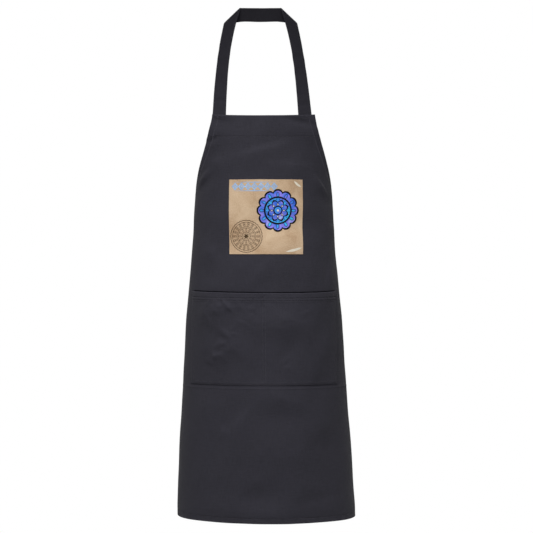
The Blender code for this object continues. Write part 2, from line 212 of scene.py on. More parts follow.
# Soft ridges and dents of the cloth, in millimetres and degrees: where the middle is across and down,
# the slant from level, half the length, half the width and the rise.
FORM_FOLDS = (
    (165.3, 198.7, -48, 45.2, 23.5, -2.4),
    (-171.0, 171.6, 48, 40.6, 23.5, -2.0),
    (-71.3, 713.4, 52, 99.3, 31.6, 2.4),
    (5.7, 839.8, 40, 81.3, 31.6, -2.6),
    (142.5, 794.6, 75, 126.4, 40.6, -3.6),
    (-193.8, 722.4, 86, 144.5, 36.1, 2.8),
    (85.5, 722.4, 84, 135.5, 36.1, 2.4),
)
POCKET_FOLDS = (
    (-111.6, 45.5, -58, 90.3, 27.1, 2.2),
    (-54.0, 24.8, 8, 126.4, 28.9, 2.0),
    (-81.0, 124.2, 20, 108.4, 30.7, 1.2),
    (-72.0, 161.5, 22, 90.3, 25.3, -0.5),
    (68.4, 78.7, -36, 126.4, 30.7, 0.4),
    (46.8, 169.7, 8, 90.3, 27.1, 1.8),
)
# The small sharp creases of the panel, in the same terms. Every crease's rise is multiplied by the first
# number, and its lower side is wider than its upper one by its lean.
CREASE_RISE = 2.4
CREASE_LEAN = 3.0
CREASES = (
    (80, 15, -14, 40, 6, -1.3),
    (84, 27, -12, 40, 8, 1.2),
    (-98, 12, -8, 20, 5, -1.2),
    (1, 78, 15, 56, 9, 2.0),
    (61, 113, -3, 48, 8, 0.9),
    (-106, 104, 10, 16, 9, 1.0),
    (-120, 56, 24, 18, 4, -0.9),
    (-117, 64, 24, 18, 4, 0.8),
    (-145, 136, 38, 24, 6, 1.2),
    (-138, 146, 38, 26, 6, -1.2),
    (142, 158, -43, 30, 5, 1.6),
    (154, 170, -43, 28, 6, -0.6),
    (178, 206, -10, 18, 7, 0.7),
    (176, 250, 8, 20, 7, 0.6),
    (158, 300, 60, 18, 5, 0.7),
    (-124, 303, 20, 16, 9, 0.9),
    (-5, 346, 46, 40, 10, 0.9),
    (160, 352, 84, 26, 5, 1.0),
    (148, 352, 84, 26, 5, -0.5),
    (-50, 671, 46, 36, 8, 1.1),
    (-92, 700, -45, 12, 6, 1.0),
    (56, 634, -22, 56, 10, 0.8),
    (-36, 838, 44, 50, 12, -1.6),
    (-28, 824, 44, 46, 10, 1.0),
    (112, 858, 14, 60, 16, -1.0),
    (122, 862, 10, 40, 8, 0.8),
    (30, 700, 60, 60, 16, 0.8),
    (-130, 790, 75, 60, 12, -1.1),
)
POCKET_LEAN = 5.0
SCATTER_LEAN = 1.4
# Patches of scattered creases: seed, number, span across, span down and rise.
POCKET_SCATTER = (
    (21, 15, (-150, -92), (24, 54), 0.46),
    (25, 13, (-95, -22), (22, 44), 0.44),
    (22, 15, (-106, -58), (78, 132), 0.44),
    (26, 8, (-130, -88), (136, 160), 0.40),
    (23, 19, (-28, 56), (148, 186), 0.44),
    (24, 9, (16, 100), (44, 90), 0.26),
    (27, 9, (-50, -10), (45, 94), 0.36),
)
POCKET_CREASES = (
    (-100, 36, 16, 40, 8, 0.9),
    (-128, 54, -58, 20, 5, 0.7),
    (-63, 112, 44, 32, 9, 0.7),
    (-104, 142, 23, 20, 6, 0.7),
    (60, 64, -33, 40, 9, 0.5),
    (-8, 160, 10, 22, 7, 0.5),
    (34, 166, -16, 28, 7, 0.6),
    (-146, 192, 14, 34, 4, -0.7),
    (-138, 199, 4, 40, 3, 0.7),
    (118, 130, -70, 40, 10, 0.6),
)
# The strap's small creases: the leg's side, how far up from the bib and half the width along in metres, and
# the rise in millimetres.
STRAP_CREASES = (
    (-1, 0.036, 0.0040, 0.7),
    (-1, 0.047, 0.0035, -0.6),
    (-1, 0.014, 0.0035, 0.5),
    (-1, 0.128, 0.0060, 0.4),
    (1, 0.026, 0.0040, 0.8),
    (1, 0.038, 0.0040, -0.7),
    (1, 0.052, 0.0040, 0.5),
    (1, 0.150, 0.0050, 0.7),
    (1, 0.162, 0.0045, -0.6),
    (1, 0.118, 0.0060, 0.4),
)


def linear(code):
    """An sRGB hex colour as linear red, green, blue and alpha."""
    parts = [int(code[k : k + 2], 16) / 255 for k in (1, 3, 5)]
    return [p / 12.92 if p <= 0.04045 else ((p + 0.055) / 1.055) ** 2.4 for p in parts] + [1.0]


def scattered(seed, count, across, down, rise):
    """Small ridges scattered over part of a piece, as cloth has where it is handled: 14 to 34 mm long,
    7 to 12 mm wide, at any slant up to 60 degrees."""
    chance = np.random.default_rng(seed)
    return [
        (
            chance.uniform(*across),
            chance.uniform(*down),
            chance.uniform(-60, 60),
            chance.uniform(7, 17),
            chance.uniform(3.4, 5.8),
            rise * chance.uniform(0.5, 1.0),
        )
        for _ in range(count)
    ]


def smooth(share):
    """A smooth step from 0 to 1."""
    share = np.clip(share, 0.0, 1.0)
    return share * share * (3 - 2 * share)


def between(first, last, share):
    """The value at a share of the way from the first to the last."""
    return first + (last - first) * share


def hump(distance, width):
    """1 on a line, falling off smoothly on both sides of it."""
    return np.exp(-((distance / width) ** 2))


def form_sections(height):
    """The form's half width, depth and front line at each height, on a smooth curve through the sections."""
    down = (BIB_TOP - height) / APRON_LENGTH
    row = np.clip(np.searchsorted(SECTIONS[:, 0], down, side="right") - 1, 0, len(SECTIONS) - 2)
    before, low = SECTIONS[np.maximum(row - 1, 0)], SECTIONS[row]
    high, after = SECTIONS[row + 1], SECTIONS[np.minimum(row + 2, len(SECTIONS) - 1)]
    step = high[:, 0] - low[:, 0]
    share = (down - low[:, 0]) / step
    square, cube = share**2, share**3
    values = []
    for size, column in ((FORM_HALF_WIDTH, 1), (FORM_DEPTH, 2), (FORM_FORWARD, 3)):
        rise_low = (high[:, column] - before[:, column]) / (high[:, 0] - before[:, 0]) * step
        rise_high = (after[:, column] - low[:, column]) / (after[:, 0] - low[:, 0]) * step
        value = (2 * cube - 3 * square + 1) * low[:, column] + (cube - 2 * square + share) * rise_low
        value += (3 * square - 2 * cube) * high[:, column] + (cube - square) * rise_high
        values.append(size * value)
    return values


def ridges(folds, across, down, lean=1.0):
    """How far a table of folds lifts the cloth at places given in metres. A fold leans when its lower
    side is that many times wider than its upper side."""
    lift = np.zeros(np.shape(across))
    for middle, drop, slant, long, wide, rise in folds:
        x, y = 1000 * across - middle, drop - 1000 * down
        turn = math.radians(slant)
        on = x * math.cos(turn) + y * math.sin(turn)
        off = y * math.cos(turn) - x * math.sin(turn)
        lift += rise / 1000 * np.exp(-((on / long) ** 2) - (off / np.where(off > 0, wide, wide * lean)) ** 2)
    return lift


def oval_table(wide, deep):
    """The distance along each section at equal angles from the front line to the back line."""
    angles = np.linspace(0, math.pi, OVAL_STEPS + 1)
    reach = np.where(angles <= math.pi / 2, deep[:, None], BACK_DEPTH)
    x, y = wide[:, None] * np.sin(angles), -reach * np.cos(angles)
    steps = np.hypot(np.diff(x, axis=1), np.diff(y, axis=1))
    return angles, np.concatenate([np.zeros((len(wide), 1)), np.cumsum(steps, axis=1)], axis=1)


def half_girth(height):
    """The distance round the form from the front line to the back line."""
    wide, deep, _ = form_sections(np.atleast_1d(height))
    return oval_table(wide, deep)[1][:, -1].reshape(np.shape(height))


def on_form(across, height, out=0.0):
    """Points of the worn form at distances round it and heights, standing out from the panel's face."""
    across, height, out = np.broadcast_arrays(across, height, out)
    shape = across.shape
    across, height, out = (np.array(part, float).ravel() for part in (across, height, out))
    points = np.zeros((len(across), 3))
    for first in range(0, len(across), FORM_BATCH):
        part = slice(first, first + FORM_BATCH)
        points[part] = form_points(across[part], height[part], out[part])
    return points.reshape(*shape, 3)


def form_points(across, height, out):
    """on_form for one batch of places."""
    wide, deep, forward = form_sections(height)
    angles, arcs = oval_table(wide, deep)
    far = np.minimum(np.abs(across), arcs[:, -1])
    k = np.clip((arcs < far[:, None] - 1e-9).sum(axis=1), 1, OVAL_STEPS)
    row = np.arange(len(far))
    share = (far - arcs[row, k - 1]) / (arcs[row, k] - arcs[row, k - 1])
    angle = between(angles[k - 1], angles[k], share)
    reach = np.where(angle <= math.pi / 2, deep, BACK_DEPTH)
    x, y = wide * np.sin(angle), -reach * np.cos(angle)
    outward = np.stack([x / wide**2, y / reach**2], axis=1)
    outward /= np.linalg.norm(outward, axis=1)[:, None]
    down = BIB_TOP - height
    out = out + ridges(FORM_FOLDS, across, down)
    hang = (np.maximum(0.0, down) / APRON_LENGTH) ** 2.5
    pull = np.maximum(0.0, 1 - down / ARMHOLE_HEIGHT) ** 2
    side = np.where(across < 0, -1.0, 1.0)
    lift = CORNER_LIFT * pull * (across / (BIB_WIDTH / 2)) ** 2 - HEM_TILT * hang * across / (SKIRT_WIDTH / 2)
    spot = (side * (x + out * outward[:, 0]) + HEM_SWAY * hang, deep - forward + y + out * outward[:, 1])
    return np.stack([*spot, height + lift], axis=1)


def half_width(height):
    """Half the width of the cut at each height: the armhole's curve, then the straight side."""
    down = np.clip((BIB_TOP - height) / ARMHOLE_HEIGHT, 0.0, 1.0)
    return between(BIB_WIDTH, SKIRT_WIDTH, between(down * down, down, ARMHOLE_START)) / 2


def drift(across, down):
    """The slow unevenness of worn cloth, from crossing waves 45 to 160 mm long. It fades at the sides,
    which hang straight."""
    chance = np.random.default_rng(11)
    lift = np.zeros(np.shape(across))
    for _ in range(DRIFT_WAVES):
        length = chance.uniform(0.045, 0.160)
        turn, phase = chance.uniform(0, math.pi), chance.uniform(0, 6.28)
        wave = (across * math.cos(turn) + down * math.sin(turn)) * 2 * math.pi / length
        lift += DRIFT_SHARE * length * np.sin(wave + phase)
    return lift * (1 - 0.8 * smooth((np.abs(across) - 0.125) / 0.050))


def uneven(place, pitch, sway, length):
    """A ripple whose pitch varies slowly, as stitches draw it."""
    return np.sin(place / pitch + sway * np.sin(place / length))


def puckers(across, down):
    """Short ripples that the stitches draw beside the hems and the facing's seam."""
    edge = half_width(BIB_TOP - down) - np.abs(across)
    ripple = 0.5 * uneven(down, 0.0017, 2.2, 0.011) * hump(edge - 0.013, 0.007)
    seam = hump(down - FACING_DEPTH + 0.002, 0.006)
    foot = hump(APRON_LENGTH - down - BOTTOM_HEM + 0.002, 0.006)
    ripple += uneven(across, 0.0018, 2.0, 0.013) * (seam + foot)
    return PANEL_PUCKER * ripple


def wrinkles(across, height):
    """How far the cloth stands off the smooth worn form. The lower edge curls in, less at the sides."""
    depth = bpy.context.scene.apron_sizes.wrinkle_depth
    down = BIB_TOP - height
    curl = EDGE_CURL * smooth((down - APRON_LENGTH + CURL_REACH) / CURL_REACH)
    curl = curl * (1 - 0.7 * smooth((np.abs(across) - 0.150) / 0.050))
    creases = CREASE_RISE * ridges(CREASES, across, down, CREASE_LEAN)
    return depth * (creases + drift(across, down) + puckers(across, down)) - curl


def on_cloth(across, height, out=0.0):
    """Points of the wrinkled cloth."""
    across, height = np.broadcast_arrays(np.asarray(across, float), np.asarray(height, float))
    return on_form(across, height, out + wrinkles(across, height))


def rolled(distance, radius):
    """1 away from an edge, falling to 0 at it in a quarter circle."""
    share = np.clip(1 - np.asarray(distance) / radius, 0.0, 1.0)
    return np.sqrt(1 - share**2)


# Extra places of a grid: beside an edge, as shares of its roll, and about a row of stitches. Two places are
# never closer than the last number.
ROLL_PLACES = (0.12, 0.45, 1.0, 1.9)
SEAM_PLACES = (-0.0024, -0.0012, -0.0005, 0.0, 0.0005, 0.0012, 0.0024)
CLOSEST = 0.00009


def spaced(first, last, step, fine_at=(), edge_roll=0.0010):
    """Values from first to last at about a step apart, closer at both ends and about each fine place."""
    count = max(2, round(abs(last - first) / step))
    low, high = min(first, last), max(first, last)
    values = list(np.linspace(low, high, count + 1))
    for part in ROLL_PLACES:
        values += [low + part * edge_roll, high - part * edge_roll]
    for place in fine_at:
        values += [place + off for off in SEAM_PLACES]
    values = sorted(v for v in values if low <= v <= high)
    kept = [values[0]]
    for value in values[1:]:
        if value - kept[-1] > CLOSEST:
            kept.append(value)
    kept[-1] = high
    return np.array(kept if first < last else kept[::-1])


def groove(distance, depth):
    """The dent along a row of stitches."""
    return -depth * hump(distance, SINK_WIDTH)


def link(name, points, faces, materials, slots=None, flat=None, worn=None, crisp=False):
    """A mesh object from arrays, with its UV map in flat metres and a mask of its folded edges, which the
    cloth colours paler for rubbing and as painted highlight.
    """
    mesh = bpy.data.meshes.new(name)
    mesh.from_pydata([tuple(p) for p in points], [], [tuple(int(v) for v in face) for face in faces])
    if slots is not None:
        mesh.polygons.foreach_set("material_index", np.asarray(slots, np.int32))
    if flat is not None:
        corners = np.zeros(len(mesh.loops), np.int32)
        mesh.loops.foreach_get("vertex_index", corners)
        layer = mesh.uv_layers.new(name="flat")
        layer.data.foreach_set("uv", np.asarray(flat, float)[corners].ravel())
    if worn is not None:
        mesh.attributes.new("worn", "FLOAT", "POINT").data.foreach_set("value", np.asarray(worn, float))
    mesh.update()
    mesh.shade_smooth()
    piece = bpy.data.objects.new(name, mesh)
    bpy.context.scene.collection.objects.link(piece)
    for finish in materials:
        mesh.materials.append(finish)
    work = bmesh.new()
    work.from_mesh(mesh)
    bmesh.ops.recalc_face_normals(work, faces=work.faces)
    work.to_mesh(mesh)
    work.free()
    if crisp:
        mesh.set_sharp_from_angle(angle=math.radians(30))
    return piece


def shell(name, face, back, flat, materials, worn=None, two_faced=False):
    """A closed sheet between two grids of points that meet along their borders."""
    rows, columns = face.shape[:2]
    ids = np.arange(rows * columns).reshape(rows, columns)
    inner = np.zeros((rows, columns), bool)
    inner[1:-1, 1:-1] = True
    behind = ids.copy()
    behind[inner] = rows * columns + np.arange(inner.sum())

    def quads(grid):
        corners = (grid[:-1, :-1], grid[:-1, 1:], grid[1:, 1:], grid[1:, :-1])
        return np.stack([part.ravel() for part in corners], axis=1)

    faces = np.concatenate([quads(ids), quads(behind)[:, ::-1]])
    points = np.concatenate([face.reshape(-1, 3), back[inner]])
    spread = np.concatenate([flat.reshape(-1, 2), flat[inner]])
    wear_and_highlight = np.zeros((rows, columns)) if worn is None else worn
    wear_and_highlight = np.concatenate([wear_and_highlight.ravel(), wear_and_highlight[inner]])
    slots = np.repeat([0, 1 if two_faced else 0], len(faces) // 2)
    return link(name, points, faces, materials, slots, spread, wear_and_highlight)


def normals_of(grid):
    """Unit normals of a grid of points, from its neighbours."""
    along, across = np.gradient(grid, axis=0), np.gradient(grid, axis=1)
    normal = np.cross(along, across)
    return normal / np.maximum(np.linalg.norm(normal, axis=2), 1e-12)[..., None]


def sampler(grid, alongs, acrosses):
    """A function of distances along and across a tape that gives points of one of its faces."""

    def surface(along, across):
        rows = np.clip(np.interp(along, alongs, np.arange(len(alongs))), 0, len(alongs) - 1.001)
        columns = np.clip(np.interp(across, acrosses, np.arange(len(acrosses))), 0, len(acrosses) - 1.001)
        r, c = rows.astype(int), columns.astype(int)
        down, right = (rows - r)[..., None], (columns - c)[..., None]
        top = between(grid[r, c], grid[r, c + 1], right)
        low = between(grid[r + 1, c], grid[r + 1, c + 1], right)
        return between(top, low, down)

    return surface


Tape = namedtuple("Tape", "piece front back length width")


def edge_rows(tape, start, end, count=120):
    """Stitch rows along both edges of a tape, on both faces."""
    rows = []
    for face, facing in ((tape.front, 1), (tape.back, -1)):
        for place in (TAPE_SEAM, tape.width - TAPE_SEAM):
            rows.append((face, [(along, place) for along in np.linspace(start, end, count)], facing))
    return rows


def make_tape(name, ribs, width, cloth, materials, lift=None, two_faced=False):
    """A tape swept along ribs, each a row of points across it, with rolled edges and stitched grooves."""
    acrosses = tape_columns(width)
    middle = np.array(ribs)
    normal = normals_of(middle)
    steps = np.linalg.norm(np.diff(middle[:, middle.shape[1] // 2], axis=0), axis=1)
    alongs = np.concatenate([[0.0], np.cumsum(steps)])
    length = alongs[-1]
    edge = np.minimum(acrosses, width - acrosses)[None, :]
    end = np.minimum(alongs, length - alongs)[:, None]
    sunk = groove(edge - TAPE_SEAM, cloth * TAPE_SINK_SHARE)
    thick = cloth / 2 * np.ones((len(alongs), len(acrosses))) + sunk
    thick *= rolled(edge, cloth / 2) * rolled(end, cloth / 2)
    if lift is not None:
        middle = middle + normal * lift(alongs[:, None], acrosses[None, :])[..., None]
    front, back = middle + normal * thick[..., None], middle - normal * thick[..., None]
    flat = np.stack(np.broadcast_arrays(acrosses[None, :], alongs[:, None]), axis=2)
    # The tape's edges are coloured paler: rubbed by use, and painted highlight where the strap's folds catch
    # the light.
    worn = hump(edge, 0.0009) * np.ones_like(thick)
    piece = shell(name, front, back, flat, materials, worn, two_faced)
    return Tape(piece, sampler(front, alongs, acrosses), sampler(back, alongs, acrosses), length, width)


def tape_columns(width):
    """Places across a tape, closer together along its edges and its rows of stitches."""
    return spaced(0.0, width, TAPE_STEP, (TAPE_SEAM, width - TAPE_SEAM), 0.0008)


# One stitch lies on the cloth as a short arched thread whose ends dip into it.
# Its rings: how far along, how wide and how high, as shares of its length and its thread.
STITCH_RINGS = (
    (-0.5, 0.0, -0.30),
    (-0.36, 0.72, 0.02),
    (0.0, 1.0, 0.30),
    (0.36, 0.72, 0.02),
    (0.5, 0.0, -0.30),
)
STITCH_SIDES = 6
STITCH_SHARE = 0.80
THREAD_RISE = 0.00005
# A seam's path is followed in steps of the first length, and the cloth's slope is read over the second.
PATH_STEP = 0.002
SLOPE_STEP = 0.0006


def stitch_shape():
    """The points of one stitch, as shares of its length and its thread, and its faces."""
    points = []
    for along, radius, rise in STITCH_RINGS:
        if radius == 0.0:
            points.append((along, 0.0, rise))
            continue
        for k in range(STITCH_SIDES):
            turn = 2 * math.pi * k / STITCH_SIDES
            points.append((along, radius * 0.5 * math.cos(turn), rise + radius * 0.5 * math.sin(turn)))
    faces, count = [], STITCH_SIDES
    last = 1 + 3 * count
    for k in range(count):
        after = (k + 1) % count
        faces.append((0, 1 + after, 1 + k))
        for ring in (0, 1):
            low, high = 1 + ring * count, 1 + (ring + 1) * count
            faces += [(low + k, low + after, high + k), (low + after, high + after, high + k)]
        faces.append((last, 1 + 2 * count + k, 1 + 2 * count + after))
    return np.array(points), np.array(faces)


def sew(name, rows):
    """All the stitches of a piece as one mesh. A row is a surface, its path in the surface's own terms,
    and which way the surface faces."""
    sizes = bpy.context.scene.apron_sizes
    pitch, thread = sizes.stitch_pitch, sizes.thread_width
    shape, faces = stitch_shape()
    sized = shape * (pitch * STITCH_SHARE, thread, thread)
    all_points, all_faces, start = [], [], 0
    for surface, path, facing in rows:
        path = np.array(path, float)
        count = max(2, int(np.ceil(np.linalg.norm(np.diff(path, axis=0), axis=1).sum() / PATH_STEP)))
        share = np.linspace(0, len(path) - 1, count + 1)
        first, second = (np.interp(share, np.arange(len(path)), path[:, k]) for k in (0, 1))
        dense = surface(first, second)
        run = np.concatenate([[0.0], np.cumsum(np.linalg.norm(np.diff(dense, axis=0), axis=1))])
        places = np.arange(0.5, run[-1] / pitch) * pitch
        a, b = np.interp(places, run, first), np.interp(places, run, second)
        spot = surface(a, b)
        ends = places + pitch / 2, places - pitch / 2
        ahead, behind = (surface(np.interp(end, run, first), np.interp(end, run, second)) for end in ends)
        over_a = surface(a + SLOPE_STEP, b) - surface(a - SLOPE_STEP, b)
        over_b = surface(a, b + SLOPE_STEP) - surface(a, b - SLOPE_STEP)
        up = np.cross(over_a, over_b)
        up *= facing / np.maximum(np.linalg.norm(up, axis=1), 1e-12)[:, None]
        along = ahead - behind
        along -= (along * up).sum(axis=1)[:, None] * up
        along /= np.maximum(np.linalg.norm(along, axis=1), 1e-12)[:, None]
        axes = (along, np.cross(up, along), up)
        points = spot[:, None] + sum(sized[None, :, k, None] * axis[:, None] for k, axis in enumerate(axes))
        all_points.append(points.reshape(-1, 3))
        offsets = start + len(shape) * np.arange(len(places))
        all_faces.append((faces[None] + offsets[:, None, None]).reshape(-1, 3))
        start += len(shape) * len(places)
    thread_finish = finishes("charcoal_thread_polyester")
    return link(name, np.concatenate(all_points), np.concatenate(all_faces), thread_finish)


def add_node(finish, kind, settings=None, values=None, links=None):
    """A node with its settings, socket values and links."""
    tree = finish.node_tree
    made = tree.nodes.new(kind)
    for name, value in (settings or {}).items():
        setattr(made, name, value)
    for socket, value in (values or {}).items():
        made.inputs[socket].default_value = value
    for socket, output in (links or {}).items():
        tree.links.new(output, made.inputs[socket])
    return made


def maths(finish, operation, values, links):
    """The result of one sum."""
    return add_node(finish, "ShaderNodeMath", {"operation": operation}, values, links).outputs["Value"]


def noise(finish, place, scale, detail, **more):
    """The strength of a noise pattern at a place."""
    values = {"Scale": scale, "Detail": detail, **more}
    return add_node(finish, "ShaderNodeTexNoise", {}, values, {"Vector": place}).outputs["Fac"]


def flat_place(finish):
    """Places on the flat cloth, in metres."""
    return add_node(finish, "ShaderNodeUVMap", {"uv_map": "flat"}).outputs["UV"]


def set_relief(finish, shader, height, strength, distance):
    """Fine relief from a pattern's height."""
    values = {"Strength": strength, "Distance": distance}
    relief = add_node(finish, "ShaderNodeBump", {}, values, {"Height": height})
    finish.node_tree.links.new(relief.outputs["Normal"], shader.inputs["Normal"])


def new_material(name, roughness, sheen=0.0):
    """A dull material of fibre, ink or paint."""
    made = bpy.data.materials.new(name)
    made.use_nodes = True
    shader = made.node_tree.nodes["Principled BSDF"]
    values = {"Roughness": roughness, "IOR": 1.47, "Specular IOR Level": 0.25}
    values.update({"Sheen Weight": sheen, "Sheen Roughness": 0.45})
    for socket, value in values.items():
        shader.inputs[socket].default_value = value
    return made, shader


def ramp(finish, factor, stops):
    """A colour ramp through (place, colour) stops."""
    made = add_node(finish, "ShaderNodeValToRGB", links={"Fac": factor})
    while len(made.color_ramp.elements) < len(stops):
        made.color_ramp.elements.new(1.0)
    for element, (place, colour) in zip(made.color_ramp.elements, stops):
        element.position = place
        element.color = colour
    return made.outputs["Color"]


def shaded(colour, factor):
    """A colour made darker or lighter, with its alpha."""
    return [part * factor for part in colour[:3]] + [1.0]


# A band pattern of scale 1 repeats after 0.3142 m level and 0.6283 m along its diagonal.
LEVEL_BANDS = 0.3142
DIAGONAL_BANDS = 0.6283
# How much each pattern counts in a woven cloth's tone: ribs against slubs, then both and the slow patches.
RIB_WEIGHT = 0.75
WEAVE_WEIGHT = 0.30
PATCH_WEIGHT = 0.16
TONE_BASE = 0.42
# How much paler a folded edge is coloured: rubbed by use, and a painted highlight where folds catch the
# light.
WEAR_AND_HIGHLIGHT_SHADE = 1.5


def woven(name, colour, pitch, contrast, slanted, sheen):
    """Dyed cotton yarn, woven. The eye sees ribs, slubs of uneven yarn, slow patches from washing, folded
    edges coloured a little paler, partly rubbed and partly painted highlight, and next to no shine."""
    made, shader = new_material(name, 0.92, sheen)
    links = made.node_tree.links
    flat = flat_place(made)
    bands = {"wave_type": "BANDS", "bands_direction": "DIAGONAL" if slanted else "X", "wave_profile": "SIN"}
    scale = (DIAGONAL_BANDS if slanted else LEVEL_BANDS) / pitch
    values = {"Scale": scale, "Distortion": 0.6, "Detail": 1.0, "Detail Scale": 1.5}
    rib = add_node(made, "ShaderNodeTexWave", bands, values, {"Vector": flat}).outputs["Fac"]
    # Slubs: yarns about 2 mm apart, drawn coarser than the real 0.4 mm, and 22 mm long both ways.
    threads = []
    for stretch in ((520.0, 46.0, 1.0), (46.0, 430.0, 1.0)):
        place = add_node(made, "ShaderNodeMapping", {}, {"Scale": stretch}, {"Vector": flat})
        threads.append(noise(made, place.outputs["Vector"], 1.0, 3.0))
    both = maths(made, "ADD", {}, {0: threads[0], 1: threads[1]})
    height = maths(made, "MULTIPLY_ADD", {1: RIB_WEIGHT}, {0: rib, 2: both})
    # Washing leaves patches of about 0.1 m.
    patches = noise(made, flat, 9.0, 5.0, Roughness=0.62)
    slow = maths(made, "MULTIPLY_ADD", {1: PATCH_WEIGHT, 2: TONE_BASE}, {0: patches})
    tone = maths(made, "MULTIPLY_ADD", {1: WEAVE_WEIGHT}, {0: height, 2: slow})
    base = ramp(made, tone, ((0.70, shaded(colour, 1 - contrast)), (1.10, shaded(colour, 1 + contrast))))
    # Folded edges mixed paler: rubbed by use, and painted highlight along the folds.
    wear_and_highlight = add_node(made, "ShaderNodeAttribute", {"attribute_name": "worn"}).outputs["Fac"]
    mixed = {"data_type": "RGBA", "blend_type": "MIX"}
    values, inputs = {"B": shaded(colour, WEAR_AND_HIGHLIGHT_SHADE)}, {"Factor": wear_and_highlight, "A": base}
    worn = add_node(made, "ShaderNodeMix", mixed, values, inputs)
    links.new(worn.outputs["Result"], shader.inputs["Base Color"])
    values = {"From Min": 0.3, "From Max": 0.8, "To Min": 0.86, "To Max": 0.97}
    rough = add_node(made, "ShaderNodeMapRange", {}, values, {"Value": patches})
    links.new(rough.outputs["Result"], shader.inputs["Roughness"])
    set_relief(made, shader, height, 0.55, 0.0004)
    return made


def printed(name, colours, scale, contrast, roughness=0.55, grain_share=0.16):
    """Ink screened on cloth. The eye sees a matt film whose colours drift into each other, a little fine
    grain where it lies thin, and the twill's ribs under it."""
    made, shader = new_material(name, roughness)
    flat = flat_place(made)
    drifted = noise(made, flat, scale, 6.0, Roughness=0.6, Distortion=0.5)
    fine = noise(made, flat, 420.0, 4.0, Roughness=0.7)
    inputs = {"A": drifted, "B": fine}
    tone = add_node(made, "ShaderNodeMix", {"data_type": "FLOAT"}, {"Factor": grain_share}, inputs)
    places = np.linspace(0.5 - contrast, 0.5 + contrast, len(colours))
    base = ramp(made, tone.outputs["Result"], list(zip(places, colours)))
    made.node_tree.links.new(base, shader.inputs["Base Color"])
    bands = {"wave_type": "BANDS", "bands_direction": "DIAGONAL"}
    values = {"Scale": DIAGONAL_BANDS / 0.0014, "Distortion": 0.8}
    grain = add_node(made, "ShaderNodeTexWave", bands, values, {"Vector": flat}).outputs["Fac"]
    set_relief(made, shader, grain, 0.12, 0.0002)
    return made


def twisted_thread(name, colour):
    """Spun polyester sewing thread. The eye sees lighter and darker strands, and a little more shine than
    the cloth has."""
    made, shader = new_material(name, 0.62, 0.1)
    spot = add_node(made, "ShaderNodeTexCoord").outputs["Object"]
    strands = noise(made, spot, 900.0, 2.0)
    base = ramp(made, strands, ((0.3, shaded(colour, 0.8)), (0.7, shaded(colour, 1.2))))
    made.node_tree.links.new(base, shader.inputs["Base Color"])
    return made


# Woven cotton: its colour, whether its ribs slant as twill's do, its contrast and its sheen.
WOVEN = {
    # Piece dyed twill, washed soft: the slanted ribs and a faint bloom of raised fibres.
    "charcoal_twill_cotton": ("twill", True, 0.24, 0.06),
    # Tape woven tight and pressed flat: less fuzzy than the panel. Its colour, darker than the panel's same
    # cloth, is painted shade for the strap, and the ties share it.
    "charcoal_tape_cotton": ("tape", True, 0.26, 0.02),
    # The same tape's wrong side, which the folds of the strap show: straight ribs. Its colour, darker than
    # the panel's, is painted shade for the band behind the neck.
    "charcoal_tape_wrong_side": ("tape_inside", False, 0.26, 0.02),
}
# Screened ink: its colours and how they are shaded, then the drift's scale and contrast, and where they
# aren't the usual ones its roughness and grain.
PRINTED = {
    # A thin ground coat, mottled like old paper.
    "parchment_print_ink": (("ink_tan_dark", "ink_tan", "ink_tan_light"), (1, 1, 1), 18.0, 0.13, 0.55, 0.42),
    # Black laid on thick for the outlines: flat and dead matt.
    "outline_print_ink": (("ink_black", "ink_black"), (1, 1.6), 60.0, 0.3, 0.85),
    # Blues run into violet like wet paint.
    "blue_print_ink": (("ink_blue_deep", "ink_blue", "ink_violet", "ink_pale"), (1, 1, 1, 1), 48.0, 0.19),
    # A brighter wash from violet through blue to cyan.
    "cyan_print_ink": (("ink_violet", "ink_blue", "ink_cyan", "ink_cyan"), (1, 1, 1, 1), 30.0, 0.16),
    # A pen line, uneven in strength.
    "brown_print_ink": (("ink_brown", "ink_brown"), (1, 1.5), 90.0, 0.25),
    # A chalky pale blue, a little blotchy.
    "pale_print_ink": (("ink_slate", "ink_pale"), (1, 1), 70.0, 0.2),
    # Opaque cream from a dry brush.
    "cream_print_ink": (("ink_cream", "ink_cream"), (1, 0.88), 50.0, 0.25),
}


def finish_named(name):
    """A finish, made when it is first asked for."""
    if name in bpy.data.materials:
        return bpy.data.materials[name]
    sizes, colours = bpy.context.scene.apron_sizes, bpy.context.scene.apron_colours
    if name in WOVEN:
        key, slanted, contrast, sheen = WOVEN[name]
        return woven(name, shaded(getattr(colours, key), 1), sizes.twill_pitch, contrast, slanted, sheen)
    if name in PRINTED:
        keys, shades, *look = PRINTED[name]
        inks = [shaded(getattr(colours, key), shade) for key, shade in zip(keys, shades)]
        return printed(name, inks, *look)
    return twisted_thread(name, shaded(colours.thread, 1))


def finishes(*names):
    """A list of finishes, for a piece's slots."""
    return [finish_named(name) for name in names]


def size_property(name, description, default, low, high):
    """A length in the sidebar."""
    return bpy.props.FloatProperty(
        name=name, description=description, default=default, min=low, max=high, unit="LENGTH"
    )


def power_property(name, description, default):
    """A light's power in the sidebar."""
    return bpy.props.FloatProperty(name=name, description=description, default=default, unit="POWER")


def share_property(name, description, default):
    """A plain factor in the sidebar."""
    return bpy.props.FloatProperty(name=name, description=description, default=default, min=0.0, max=2.0)


